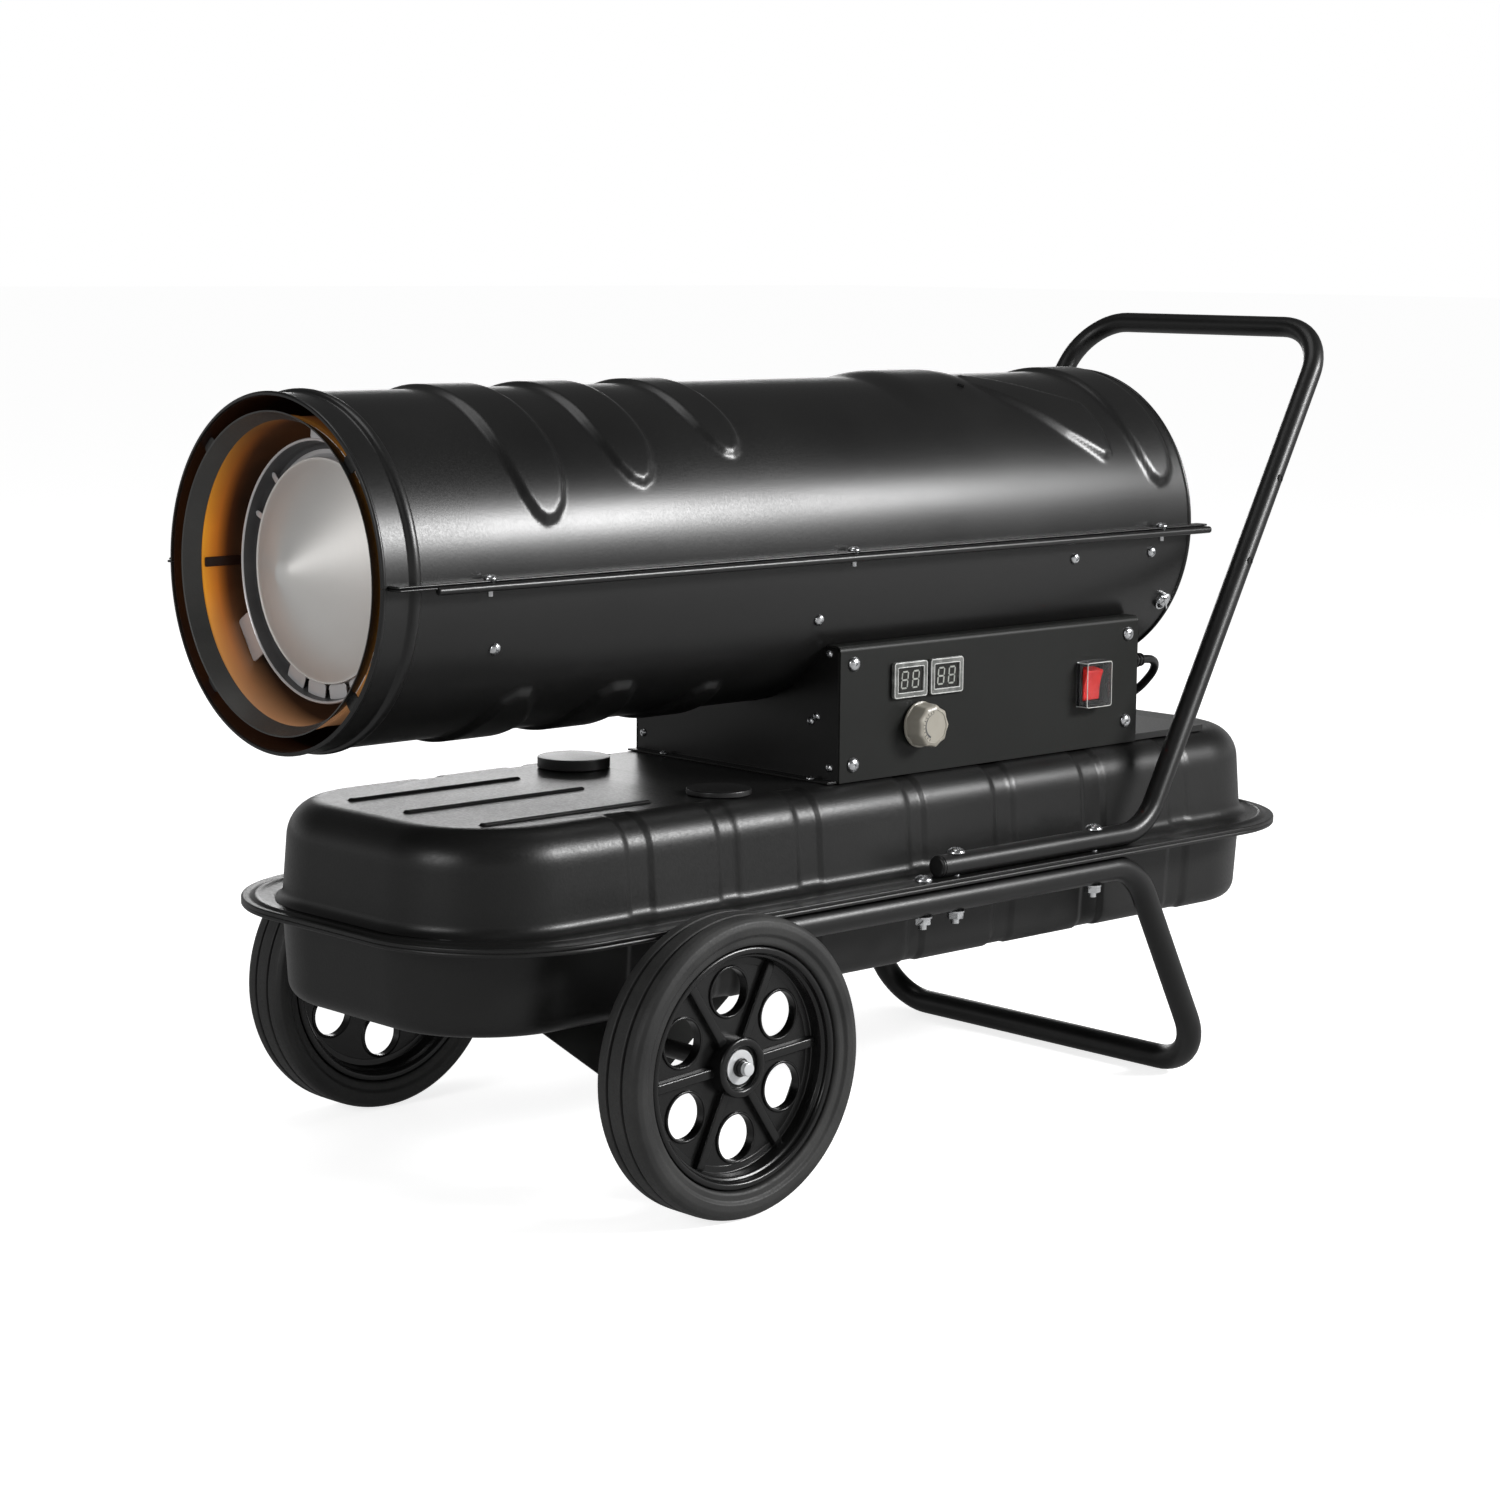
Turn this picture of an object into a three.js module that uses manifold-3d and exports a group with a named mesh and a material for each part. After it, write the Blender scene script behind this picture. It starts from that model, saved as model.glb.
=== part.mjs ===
// A forced air heater: a barrel with a combustion chamber and a fan inside, on a control housing,
// on a fuel tank with two wheels, a resting leg and a push handle.
// Millimetres. x is across the heater with the control panel at +x, y runs from the outlet at -y
// to the handle at +y and is counted from the wheel axle, z is up from the floor.
import * as THREE from "three";
import { mergeVertices } from "three/addons/utils/BufferGeometryUtils.js";
import Module from "manifold-3d";

const wasm = await Module();
wasm.setup();

// ---- driving dimensions ----

const gap = 0.3; // left between two pieces that touch
const sheet = 1.5; // folded sheet of the housing

const wheel = { radius: 100, width: 40, offTank: 9, sides: 28 };
const tyreForm = { shoulder: 6, tread: 2.5, treadDrop: 1.5, beadInset: 3 };
const rimForm = { seatRadius: 80, wallRadius: 72, inset: 4, sink: 2 }; // sink joins its web and ribs
const spokes = {
  count: 6,
  turn: 94, // degrees from the back to its first hole, as the wheels stand
  holeRadius: 15.5,
  holeRing: 49,
  ribWidth: 6,
  ribInset: 2,
  webBack: -3,
  webFront: 2,
};
const hub = { radius: 20, face: 8 };
const wheelNut = { washerRadius: 11.5, washer: 1.5, radius: 8.5, height: 7 };
const axle = { radius: 6, threadRadius: 5, pastNut: 3.7, collarRadius: 10, collarWidth: 4 };

const tank = {
  overAxle: 21,
  lowerDepth: 64.1,
  upperHeight: 69.9,
  wall: 1.5,
  front: -167,
  length: 824,
  halfWidth: 125,
  corner: 84,
  edge: 25,
};
const tankFlange = { thickness: 2.75, side: 37, front: 20, back: 13, corner: 24 }; // beyond the body
const filler = { x: -70, y: 88, bore: 16.5, wall: 2.5, height: 5, capRadius: 26, capHeight: 8, capEdge: 1.5 };
const gauge = { x: 83, y: 88, radius: 22.5, height: 3.8, edge: 1, stemRadius: 9, stemLength: 62 };

const barrel = { radius: 114, wall: 1.2, front: -220, length: 767, offTank: 48, sides: 36 };
const seamFlange = { inset: 5, overhang: 8, upperReach: 10, lowerReach: 12, thickness: 1.5, roll: 2.5 };
const lip = { inset: 1, offShell: 11, taper: 5.5, depth: 12, wall: 1.2, tabs: 4, tabWidth: 12 };
const shield = { wall: 1.2, pastChamber: 5, bracketWidth: 14, brackets: 3, rowInsets: [70, 75] };
const chamber = {
  offShield: 15.5,
  wall: 1.2,
  inset: 42,
  toFan: 68,
  port: 20,
  bracketWidth: 14,
  brackets: 3,
};
const ring = { rimHeight: 8, overlap: 16, wall: 1.2, tabWidth: 26, tabAngles: [60, 240, 330], foot: 14 };
const cone = { inset: 10, height: 35, wall: 1.2 };
const burner = {
  radius: 22,
  length: 28,
  flangeRadius: 34,
  flange: 2.5,
  nozzleRadius: 6,
  nozzleLength: 10,
  barbX: 20,
  barbBoss: 1, // metal left round a barb's foot
};
const barb = { radius: 3, length: 10 };
const sparkPlug = {
  radius: 5,
  ring: 48,
  angle: 45,
  reach: 30,
  taper: 12,
  collarRadius: 9,
  collar: 7,
  neck: 20,
};
const photocell = { radius: 9, length: 14, noseRadius: 4.5, nose: 8, ring: 50, angle: 150 };

const motor = { radius: 45, length: 75, inset: 47, edge: 6, shaftRadius: 4, seat: 16 };
const bracket = { halfWidth: 30, length: 25, archHalfWidth: 8, archHeight: 20 };
const pump = { radius: 34, length: 28, coverRadius: 28, coverLength: 8 };
const fan = {
  offShell: 26,
  hubRadius: 20,
  hubLength: 24,
  blades: 6,
  chord: 34,
  pitch: 35,
  thickness: 1.5,
  toMotor: 13,
  shaftOut: 4, // the shaft's end in front of the hub
};
const guard = { inset: 9, thickness: 2.5, wire: 3, pitch: 17, hubRadius: 12, sectors: 3, steps: 4 };
const hose = { radius: 3.5, bend: 13, sides: 8, overShell: 3 };
const hosePort = { halfWidth: 30, before: 17, behind: 21 }; // about the fuel filter

const housing = { halfWidth: 107, front: 180, back: 497, height: 96, foldClearance: 0.55, frontFoot: 10 };
const basePlate = { clearance: 0.5, back: 580, height: 5 };
const panelHoles = { margin: 0.3 };
const display = { width: 34, height: 26, bezel: 3, bodyInset: 2, yFirst: 247, yStep: 37, z: 68 };
const knob = { y: 258, z: 35, radius: 16.5, height: 15, edge: 2, draft: 1, offPanel: 1.5, sides: 12 };
const thermostat = { width: 22, depth: 12, bushRadius: 4.5, shaftRadius: 3, shaftReach: 12 };
const rocker = {
  y: 441,
  z: 49,
  halfWidth: 8.8,
  halfHeight: 11.5,
  crest: 6.2,
  waist: 5,
  depth: 6,
  tilt: 10,
  pivotInset: 1, // its axis behind the panel's face
  sweepRoom: 1.5, // above and below it as it tips
};
const switchBody = { halfWidth: 13, halfHeight: 16, bezel: 2.7, bodyInset: 1.6, depth: 18, cavity: 13.5 };
const switchCover = { clearance: 1, wall: 1, reach: 11 };
const board = { offPanel: 21, thickness: 1.6, front: 225, back: 400, bottom: 12, top: 78 };
const transformer = { x: -50, y: 260, width: 50, length: 60, height: 36 };
const filter = { x: 20, y: 365, radius: 10, height: 30, barb: 6, pipeRadius: 4, pipeOffFloor: 14 };

const handle = {
  tube: 16,
  wall: 1.5,
  bend: 45,
  railInset: 10,
  front: 235,
  bendY: 455,
  drawIn: 29,
  gripY: 697,
  rise: 368.7,
};
const leg = { tube: 19, wall: 1.5, bend: 40, front: 60, bendY: 445, splay: 15, footY: 515 };
const tubeSides = 10;
const endPlug = { head: 3, edge: 1, stem: 12 };
const clampBolt = {
  radius: 3,
  headRadius: 7,
  headHeight: 4,
  nutRadius: 6,
  nutHeight: 5,
  stub: 4,
  sides: 8,
  holeSides: 6,
};
const clampBoltY = { front: 219, middle: 252, rear: 399 }; // the front one misses the handle
const axleBracket = {
  inset: 7,
  halfWidth: 20,
  sheet: 2.5,
  earInset: 25,
  earDepth: 24,
  earReach: 85, // each way along the tank's bottom
  earFoot: 26, // each way below the axle
};

// The mains lead: its gland, its route by hand to the coil, the coil, and its route on to the plug.
const cord = { diameter: 6.5 };
const gland = {
  x: 90,
  z: 59,
  radius: 8,
  flangeRadius: 10.5,
  flange: 3,
  inside: 8,
  taper: 21,
  rootRadius: 7.5,
  tipRadius: 4.4,
};
const coil = {
  x: -20,
  y: 542,
  middleRadius: 33,
  turns: 6.125,
  layers: 4,
  spacing: 6.95,
  liftOffPlate: 0.5,
  startAngle: -45,
  stepsPerTurn: 24,
  sides: 6,
};
const plug = {
  x: -86,
  y: 532,
  tail: 10,
  tailLength: 22,
  width: 36,
  height: 24,
  edge: 5,
  body: 20,
  pinRadius: 2.4,
  pin: 19,
  pinSpread: 9.5,
};

// ---- dimensions that follow ----

const tankBottom = wheel.radius + tank.overAxle;
const tankSeam = tankBottom + tank.lowerDepth;
const tankTop = tankSeam + tank.upperHeight;
const bodyBack = tank.front + tank.length;
const flangeHalfWidth = tank.halfWidth + tankFlange.side;
const flangeFront = tank.front - tankFlange.front;
const flangeBack = bodyBack + tankFlange.back;
const flangeCorner = tank.corner + tankFlange.corner;
const flangeTop = tankSeam + gap / 2 + tankFlange.thickness;
const flangeBottom = tankSeam - gap / 2 - tankFlange.thickness;

const railX = flangeHalfWidth - handle.railInset;
const handleZ = flangeTop + gap + handle.tube / 2;
const gripX = railX - handle.drawIn;
const gripZ = handleZ + handle.rise;
const legZ = flangeBottom - gap - leg.tube / 2;
const footX = railX + leg.splay;
const wheelInside = flangeHalfWidth + wheel.offTank;
const wheelX = wheelInside + wheel.width / 2;
const axleEnd = wheelX + hub.face + gap + wheelNut.height + axle.pastNut;
const axleBracketX = tank.halfWidth - axleBracket.inset;
const earX = tank.halfWidth - axleBracket.earInset;

const axisZ = tankTop + barrel.offTank + barrel.radius; // the barrel's own axis
const barrelBack = barrel.front + barrel.length;
const shellInside = barrel.radius - barrel.wall;
const seamEnds = [barrel.front + seamFlange.inset, barrelBack + seamFlange.overhang];
const lipFront = barrel.front + lip.inset;
const mouthRadius = barrel.radius - lip.offShell;
const throatRadius = mouthRadius - lip.taper;
const motorBack = barrelBack - motor.inset;
const motorFront = motorBack - motor.length;
const fanRadius = barrel.radius - fan.offShell;
const fanBack = motorFront - fan.toMotor;
const fanFront = fanBack - fan.hubLength;
const guardY = barrelBack - guard.inset;
const chamberRadius = throatRadius - chamber.offShield;
const chamberFront = barrel.front + chamber.inset;
const chamberBack = fanFront - chamber.toFan;
const shieldBack = chamberBack + shield.pastChamber;
const shieldRows = [barrel.front + shield.rowInsets[0], shieldBack - shield.rowInsets[1]];
const ringInner = chamberRadius - ring.overlap;
const coneRadius = chamberRadius - cone.inset;

const panelX = housing.halfWidth;
const basePlateX = housing.halfWidth - sheet - basePlate.clearance;
const boardX = panelX - board.offPanel;
const boardFace = boardX + board.thickness;

// Round sheets are many-sided. A flat of one lies this far from its axis, and a tab of a given width
// reaches this far out inside it.
const flatOf = (radius) => radius * Math.cos(Math.PI / barrel.sides);
const reachInside = (radius, width) => Math.sqrt((flatOf(radius) - gap) ** 2 - (width / 2) ** 2);

// The two ends of a length about its middle.
function spread(centre, half) {
  return [centre - half, centre + half];
}

// ---- solids ----

const radians = THREE.MathUtils.degToRad;
const zUp = new THREE.Matrix4().makeRotationX(Math.PI / 2); // lathe axis or section up along z
const alongX = new THREE.Matrix4().set(0, 1, 0, 0, 1, 0, 0, 0, 0, 0, -1, 0, 0, 0, 0, 1);
const sectionYZ = new THREE.Matrix4().set(0, 0, 1, 0, 1, 0, 0, 0, 0, 1, 0, 0, 0, 0, 0, 1);

// A closed geometry as a solid for cutting and joining. Its outline may run either way round.
function solid(geometry) {
  const bare = geometry.clone();
  bare.deleteAttribute("normal");
  bare.deleteAttribute("uv");
  const merged = mergeVertices(bare, 1e-4);
  const corners = merged.index.array;
  const triangles = [];
  for (let i = 0; i < corners.length; i += 3) {
    const [a, b, c] = corners.slice(i, i + 3);
    if (a !== b && b !== c && c !== a) triangles.push(a, b, c);
  }
  const build = (indices) =>
    new wasm.Manifold(
      new wasm.Mesh({
        numProp: 3,
        vertProperties: merged.attributes.position.array,
        triVerts: Uint32Array.from(indices),
      }),
    );
  const made = build(triangles);
  return made.volume() < 0 ? build(triangles.reverse()) : made;
}

function geometryOf(body) {
  const mesh = body.getMesh();
  return new THREE.BufferGeometry()
    .setAttribute("position", new THREE.BufferAttribute(mesh.vertProperties, 3))
    .setIndex(new THREE.BufferAttribute(mesh.triVerts, 1));
}

const join = (first, ...others) => others.reduce((whole, other) => whole.add(other), first);
const cut = (first, ...others) => others.reduce((whole, other) => whole.subtract(other), first);

function box([x0, x1], [y0, y1], [z0, z1]) {
  const geometry = new THREE.BoxGeometry(x1 - x0, y1 - y0, z1 - z0);
  return solid(geometry.translate((x0 + x1) / 2, (y0 + y1) / 2, (z0 + z1) / 2));
}

// A profile of [radius, height] points turned about the y axis, then laid along axis "x", "y" or "z".
function turned(profile, axis = "y", sides = barrel.sides) {
  const points = [...profile, profile[0]].map(([radius, height]) => new THREE.Vector2(radius, height));
  const geometry = new THREE.LatheGeometry(points, sides);
  if (axis === "x") geometry.applyMatrix4(alongX);
  if (axis === "z") geometry.applyMatrix4(zUp);
  return solid(geometry);
}

function rod(radius, [from, to], axis, place = [0, 0, 0], sides = 16) {
  const profile = [[0, from], [radius, from], [radius, to], [0, to]];
  return turned(profile, axis, sides).translate(place);
}

function pipe(outer, inner, [from, to], axis, place = [0, 0, 0], sides = barrel.sides) {
  const profile = [[inner, from], [outer, from], [outer, to], [inner, to]];
  return turned(profile, axis, sides).translate(place);
}

function polygon(points) {
  return new THREE.Shape(points.map(([u, v]) => new THREE.Vector2(u, v)));
}

// A section in x and z, pulled along y.
function pulled(shape, [y0, y1]) {
  const geometry = new THREE.ExtrudeGeometry(shape, { depth: y1 - y0, bevelEnabled: false });
  return solid(geometry.applyMatrix4(zUp).translate(0, y1, 0));
}

// A section in y and z, pulled along x.
function pulledAcross(shape, [x0, x1]) {
  const geometry = new THREE.ExtrudeGeometry(shape, { depth: x1 - x0, bevelEnabled: false });
  return solid(geometry.applyMatrix4(sectionYZ).translate(x0, 0, 0));
}

const polar = (radius, degrees) => [radius * Math.cos(radians(degrees)), radius * Math.sin(radians(degrees))];

// A plate that stands out radially from the y axis at an angle counted from +x towards +z.
function radialTab([r0, r1], width, [y0, y1], degrees) {
  return box([r0, r1], [y0, y1], [-width / 2, width / 2]).rotate([0, -degrees, 0]);
}

const evenly = (count, start = 0) => Array.from({ length: count }, (_, i) => start + (360 * i) / count);

// A rectangle with round corners, as points that run anticlockwise.
function roundedOutline([x0, x1], [y0, y1], corner, steps = 4) {
  const centres = [
    [x1 - corner, y1 - corner],
    [x0 + corner, y1 - corner],
    [x0 + corner, y0 + corner],
    [x1 - corner, y0 + corner],
  ];
  return centres.flatMap(([cx, cy], quarter) =>
    Array.from({ length: steps + 1 }, (_, i) => {
      const [dx, dy] = polar(corner, 90 * (quarter + i / steps));
      return [cx + dx, cy + dy];
    }),
  );
}

// Rings of [x, y, z] points, one after the other, skinned and closed by a fan at each end.
function lofted(rings) {
  const count = rings[0].length;
  const points = rings.flat();
  const middle = (loop) => loop[0].map((_, k) => loop.reduce((sum, point) => sum + point[k], 0) / count);
  points.push(middle(rings[0]), middle(rings[rings.length - 1]));
  const first = points.length - 2;
  const last = points.length - 1;
  const lastRing = (rings.length - 1) * count;
  const triangles = [];
  for (let i = 0; i < count; i++) {
    const next = (i + 1) % count;
    for (let k = 0; k < rings.length - 1; k++) {
      const low = k * count;
      const high = low + count;
      triangles.push(low + i, low + next, high + next, low + i, high + next, high + i);
    }
    triangles.push(first, next, i, last, lastRing + i, lastRing + next);
  }
  const geometry = new THREE.BufferGeometry();
  geometry.setAttribute("position", new THREE.Float32BufferAttribute(points.flat(), 3));
  return solid(geometry.setIndex(triangles));
}

// A route of stations with their directions, so that a swept section stands square at each one.
class Route extends THREE.Curve {
  constructor(stations, directions) {
    super();
    this.stations = stations;
    this.directions = directions;
  }
  station(list, u) {
    return list[Math.round(u * (list.length - 1))].clone();
  }
  getPoint(u) {
    return this.station(this.stations, u);
  }
  getPointAt(u) {
    return this.station(this.stations, u);
  }
  getTangentAt(u) {
    return this.station(this.directions, u);
  }
}

// Straight runs between corners, with a round bend at each inner corner.
function bentRoute(corners, bend, stepsPerQuarter = 3) {
  const points = corners.map((corner) => new THREE.Vector3(...corner));
  const stations = [points[0]];
  const directions = [points[1].clone().sub(points[0]).normalize()];
  for (let i = 1; i < points.length - 1; i++) {
    const into = points[i].clone().sub(points[i - 1]).normalize();
    const out = points[i + 1].clone().sub(points[i]).normalize();
    const turn = into.angleTo(out);
    const inward = out.clone().sub(into).normalize();
    const centre = points[i].clone().addScaledVector(inward, bend / Math.cos(turn / 2));
    const spin = into.clone().cross(out).normalize();
    const toStart = points[i].clone().addScaledVector(into, -bend * Math.tan(turn / 2)).sub(centre);
    const steps = Math.ceil((turn / (Math.PI / 2)) * stepsPerQuarter);
    for (let k = 0; k <= steps; k++) {
      const angle = (turn * k) / steps;
      stations.push(toStart.clone().applyAxisAngle(spin, angle).add(centre));
      directions.push(into.clone().applyAxisAngle(spin, angle));
    }
  }
  stations.push(points[points.length - 1]);
  directions.push(directions[directions.length - 1].clone());
  return new Route(stations, directions);
}

// A smooth curve through points, with a station at each even step along it.
function smoothRoute(points, steps, startDirection, endDirection) {
  const curve = new THREE.CatmullRomCurve3(points.map((point) => new THREE.Vector3(...point)));
  const stations = curve.getSpacedPoints(steps);
  const directions = stations.map((_, i) => curve.getTangentAt(i / steps));
  directions[0] = new THREE.Vector3(...startDirection);
  directions[steps] = new THREE.Vector3(...endDirection);
  return new Route(stations, directions);
}

function circleShape(radius, sides, hole = 0) {
  const loop = (r) => evenly(sides, 180 / sides).map((angle) => new THREE.Vector2(...polar(r, angle)));
  const shape = new THREE.Shape(loop(radius));
  if (hole > 0) shape.holes.push(new THREE.Path(loop(hole)));
  return shape;
}

function swept(route, radius, sides, hole = 0) {
  const steps = route.stations.length - 1;
  const options = { steps, bevelEnabled: false, extrudePath: route };
  return solid(new THREE.ExtrudeGeometry(circleShape(radius, sides, hole), options));
}

// ---- finishes ----

function finish(color, roughness, metalness = 0) {
  return new THREE.MeshStandardMaterial({ color, roughness, metalness });
}
const blackPaint = finish(0x141414, 0.42);
const darkPaint = finish(0x1c1d1d, 0.5);
const blackTube = finish(0x0e0e0e, 0.3);
const zinc = finish(0xb8bcc0, 0.35, 1);
const stainless = finish(0xa9a6a0, 0.32, 1);
const hotSteel = finish(0xb56a1e, 0.45, 0.8);
const castMetal = finish(0x8d9093, 0.5, 0.9);
const brassMetal = finish(0xb08d4c, 0.35, 1);
const blackPlastic = finish(0x101010, 0.35);
const greyPlastic = finish(0x8a8579, 0.4);
const redPlastic = finish(0xb3201c, 0.3);
const clearPlastic = finish(0xdfe4e6, 0.1);
const whiteCeramic = finish(0xe6e2d8, 0.4);
const greenBoard = finish(0x1f5a34, 0.5);
const tyreRubber = finish(0x1a1a1a, 0.8);
const cordRubber = finish(0x121212, 0.6);

function piece(name, body, material, group) {
  const mesh = new THREE.Mesh(geometryOf(body), material);
  mesh.name = name;
  group.add(mesh);
  return mesh;
}

// ---- groups: each has its own frame ----

const heater = new THREE.Group();
const barrelGroup = new THREE.Group(); // z counts from the barrel's axis
barrelGroup.position.z = axisZ;
const housingGroup = new THREE.Group(); // z counts from the top of the tank
housingGroup.position.z = tankTop;
heater.add(barrelGroup, housingGroup);

// ---- barrel: shells ----

// Half of the barrel's tube, upper (side 1) or lower (side -1), with a flange along both seams.
function shellHalf(side, reach) {
  const seam = gap / 2;
  const arc = (radius) => {
    const start = Math.asin(seam / radius);
    const steps = barrel.sides / 2;
    return Array.from({ length: steps + 1 }, (_, i) => {
      const angle = start + ((Math.PI - 2 * start) * i) / steps;
      return [radius * Math.cos(angle), side * radius * Math.sin(angle)];
    });
  };
  const section = polygon([...arc(barrel.radius), ...arc(shellInside).reverse()]);
  const flange = [seam, seam + seamFlange.thickness].map((z) => side * z).sort((a, b) => a - b);
  const x0 = barrel.radius - barrel.wall / 2;
  const x1 = barrel.radius + reach;
  return join(
    pulled(section, [barrel.front, barrelBack]),
    box([x0, x1], seamEnds, flange),
    box([-x1, -x0], seamEnds, flange),
  );
}

function lowerShell() {
  const rollX = barrel.radius + seamFlange.lowerReach;
  const rollZ = -gap / 2 - seamFlange.roll;
  const rolls = [1, -1].map((side) => rod(seamFlange.roll, seamEnds, "y", [side * rollX, 0, rollZ], 10));
  const port = box(
    [-hosePort.halfWidth, hosePort.halfWidth],
    [filter.y - hosePort.before, filter.y + hosePort.behind],
    [-barrel.radius - gap, 0],
  );
  return cut(join(shellHalf(-1, seamFlange.lowerReach), ...rolls), port);
}

piece("upper_shell", shellHalf(1, seamFlange.upperReach), blackPaint, barrelGroup);
piece("lower_shell", lowerShell(), blackPaint, barrelGroup);

// ---- barrel: outlet ----

const lipBack = lipFront + lip.depth;
const shieldRadius = throatRadius + shield.wall;

function outletLip() {
  const band = turned([
    [mouthRadius, lipFront],
    [mouthRadius + lip.wall, lipFront],
    [throatRadius + lip.wall, lipBack],
    [throatRadius, lipBack],
  ]);
  const y0 = (lipFront + lipBack) / 2;
  const root = (mouthRadius + throatRadius) / 2 + lip.wall / 2;
  const tabs = evenly(lip.tabs, 45).map((angle) =>
    radialTab([root, reachInside(shellInside, lip.tabWidth)], lip.tabWidth, [y0, y0 + lip.wall], angle),
  );
  return join(band, ...tabs);
}

function heatShield() {
  const tube = pipe(shieldRadius, throatRadius, [lipBack + gap, shieldBack], "y");
  const reach = [shieldRadius - shield.wall / 2, reachInside(shellInside, shield.bracketWidth)];
  const brackets = shieldRows.flatMap((y) =>
    evenly(shield.brackets, 90).map((angle) =>
      radialTab(reach, shield.bracketWidth, [y, y + shield.wall], angle),
    ),
  );
  return join(tube, ...brackets);
}

const [sparkX, sparkZ] = polar(sparkPlug.ring, sparkPlug.angle);
const [cellX, cellZ] = polar(photocell.ring, photocell.angle);

function combustionChamber() {
  const inside = chamberRadius - chamber.wall;
  const backWall = [chamberBack - chamber.wall, chamberBack];
  const reach = [chamberRadius - chamber.wall / 2, reachInside(throatRadius, chamber.bracketWidth)];
  const brackets = evenly(chamber.brackets, 90).map((angle) =>
    radialTab(reach, chamber.bracketWidth, backWall, angle),
  );
  const through = [backWall[0] - 1, backWall[1] + 1];
  return cut(
    join(
      pipe(chamberRadius, inside, [chamberFront, chamberBack], "y"),
      pipe(chamberRadius - chamber.wall / 2, chamber.port, backWall, "y"),
      ...brackets,
    ),
    rod(sparkPlug.radius + gap, through, "y", [sparkX, 0, sparkZ], 12),
    rod(photocell.noseRadius + gap, through, "y", [cellX, 0, cellZ], 12),
  );
}

const ringFace = chamberFront - gap - ring.wall; // front face of the ring's flat

function chamberRing() {
  const inner = chamberRadius + gap;
  const rim = ringFace - (ring.rimHeight - ring.wall) / 2;
  const dish = turned([
    [inner + ring.wall, rim],
    [inner + ring.wall, rim + ring.rimHeight],
    [inner, rim + ring.rimHeight],
    [inner, ringFace + ring.wall],
    [ringInner, ringFace + ring.wall],
    [ringInner, ringFace],
    [inner, ringFace],
    [inner, rim],
  ]);
  const end = reachInside(throatRadius, ring.tabWidth);
  const tabs = ring.tabAngles.flatMap((angle) => [
    radialTab([inner + ring.wall / 2, end], ring.tabWidth, [ringFace, ringFace + ring.wall], angle),
    radialTab([end - ring.wall, end], ring.tabWidth / 2, [ringFace, ringFace + ring.foot], angle),
  ]);
  return join(dish, ...tabs);
}

function coneDeflector() {
  const base = ringFace - gap;
  const front = base - cone.wall;
  const apex = front - cone.height;
  const slant = cone.wall / Math.cos(Math.atan(cone.height / coneRadius));
  return turned([
    [0, apex],
    [coneRadius, front],
    [coneRadius, base],
    [coneRadius - 2 * cone.wall, base],
    [0, apex + slant],
  ]);
}

piece("outlet_lip", outletLip(), darkPaint, barrelGroup);
piece("heat_shield", heatShield(), hotSteel, barrelGroup);
piece("combustion_chamber", combustionChamber(), stainless, barrelGroup);
piece("chamber_ring", chamberRing(), stainless, barrelGroup);
piece("cone_deflector", coneDeflector(), stainless, barrelGroup);

// ---- barrel: burner ----

const burnerFace = chamberBack + gap;
const barbY = burnerFace + (burner.length + 2 * barb.radius) / 2;
const burnerBarbTip = -burner.radius - barb.length;

function burnerHead() {
  const flange = burnerFace + burner.flange;
  const back = burnerFace + burner.length;
  const nozzleTip = burnerFace - burner.nozzleLength;
  const head = turned(
    [
      [0, nozzleTip],
      [burner.nozzleRadius, nozzleTip],
      [burner.nozzleRadius, burnerFace],
      [burner.flangeRadius, burnerFace],
      [burner.flangeRadius, flange],
      [burner.radius, flange],
      [burner.radius, back],
      [0, back],
    ],
    "y",
    16,
  );
  const boss = barb.radius + burner.barbBoss;
  const manifold = box([-boss, burner.barbX + boss], spread(barbY, boss), [-burner.radius, 0]);
  const barbs = [0, burner.barbX].map((x) =>
    rod(barb.radius, [burnerBarbTip, 0], "z", [x, barbY, 0], 8),
  );
  return join(head, manifold, ...barbs);
}

function sparkPlugBody() {
  const tip = chamberBack - sparkPlug.reach;
  const collarEnd = burnerFace + sparkPlug.collar;
  const profile = [
    [0, tip],
    [sparkPlug.radius / 3, tip],
    [sparkPlug.radius, tip + sparkPlug.taper],
    [sparkPlug.radius, burnerFace],
    [sparkPlug.collarRadius, burnerFace],
    [sparkPlug.collarRadius, collarEnd],
    [sparkPlug.radius, collarEnd],
    [sparkPlug.radius, collarEnd + sparkPlug.neck],
    [0, collarEnd + sparkPlug.neck],
  ];
  return turned(profile, "y", 12).translate([sparkX, 0, sparkZ]);
}

function photocellBody() {
  const profile = [
    [0, burnerFace - photocell.nose],
    [photocell.noseRadius, burnerFace - photocell.nose],
    [photocell.noseRadius, burnerFace],
    [photocell.radius, burnerFace],
    [photocell.radius, burnerFace + photocell.length],
    [0, burnerFace + photocell.length],
  ];
  return turned(profile, "y", 12).translate([cellX, 0, cellZ]);
}

piece("burner_head", burnerHead(), castMetal, barrelGroup);
piece("spark_plug", sparkPlugBody(), whiteCeramic, barrelGroup);
piece("photocell", photocellBody(), blackPlastic, barrelGroup);

// ---- barrel: motor, pump and fan ----

const pumpFront = motorBack + gap;
const pumpBarbY = pumpFront + (pump.length - pump.coverLength) / 2;

function fanMotor() {
  const profile = [
    [0, motorFront],
    [motor.radius - motor.edge, motorFront],
    [motor.radius, motorFront + motor.edge],
    [motor.radius, motorBack - motor.edge],
    [motor.radius - motor.edge, motorBack],
    [0, motorBack],
  ];
  const boreEnds = [motorFront - 1, motorFront + motor.seat + gap];
  const bore = rod(motor.shaftRadius + gap, boreEnds, "y", [0, 0, 0], 12);
  return cut(turned(profile, "y", 20), bore);
}

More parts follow.
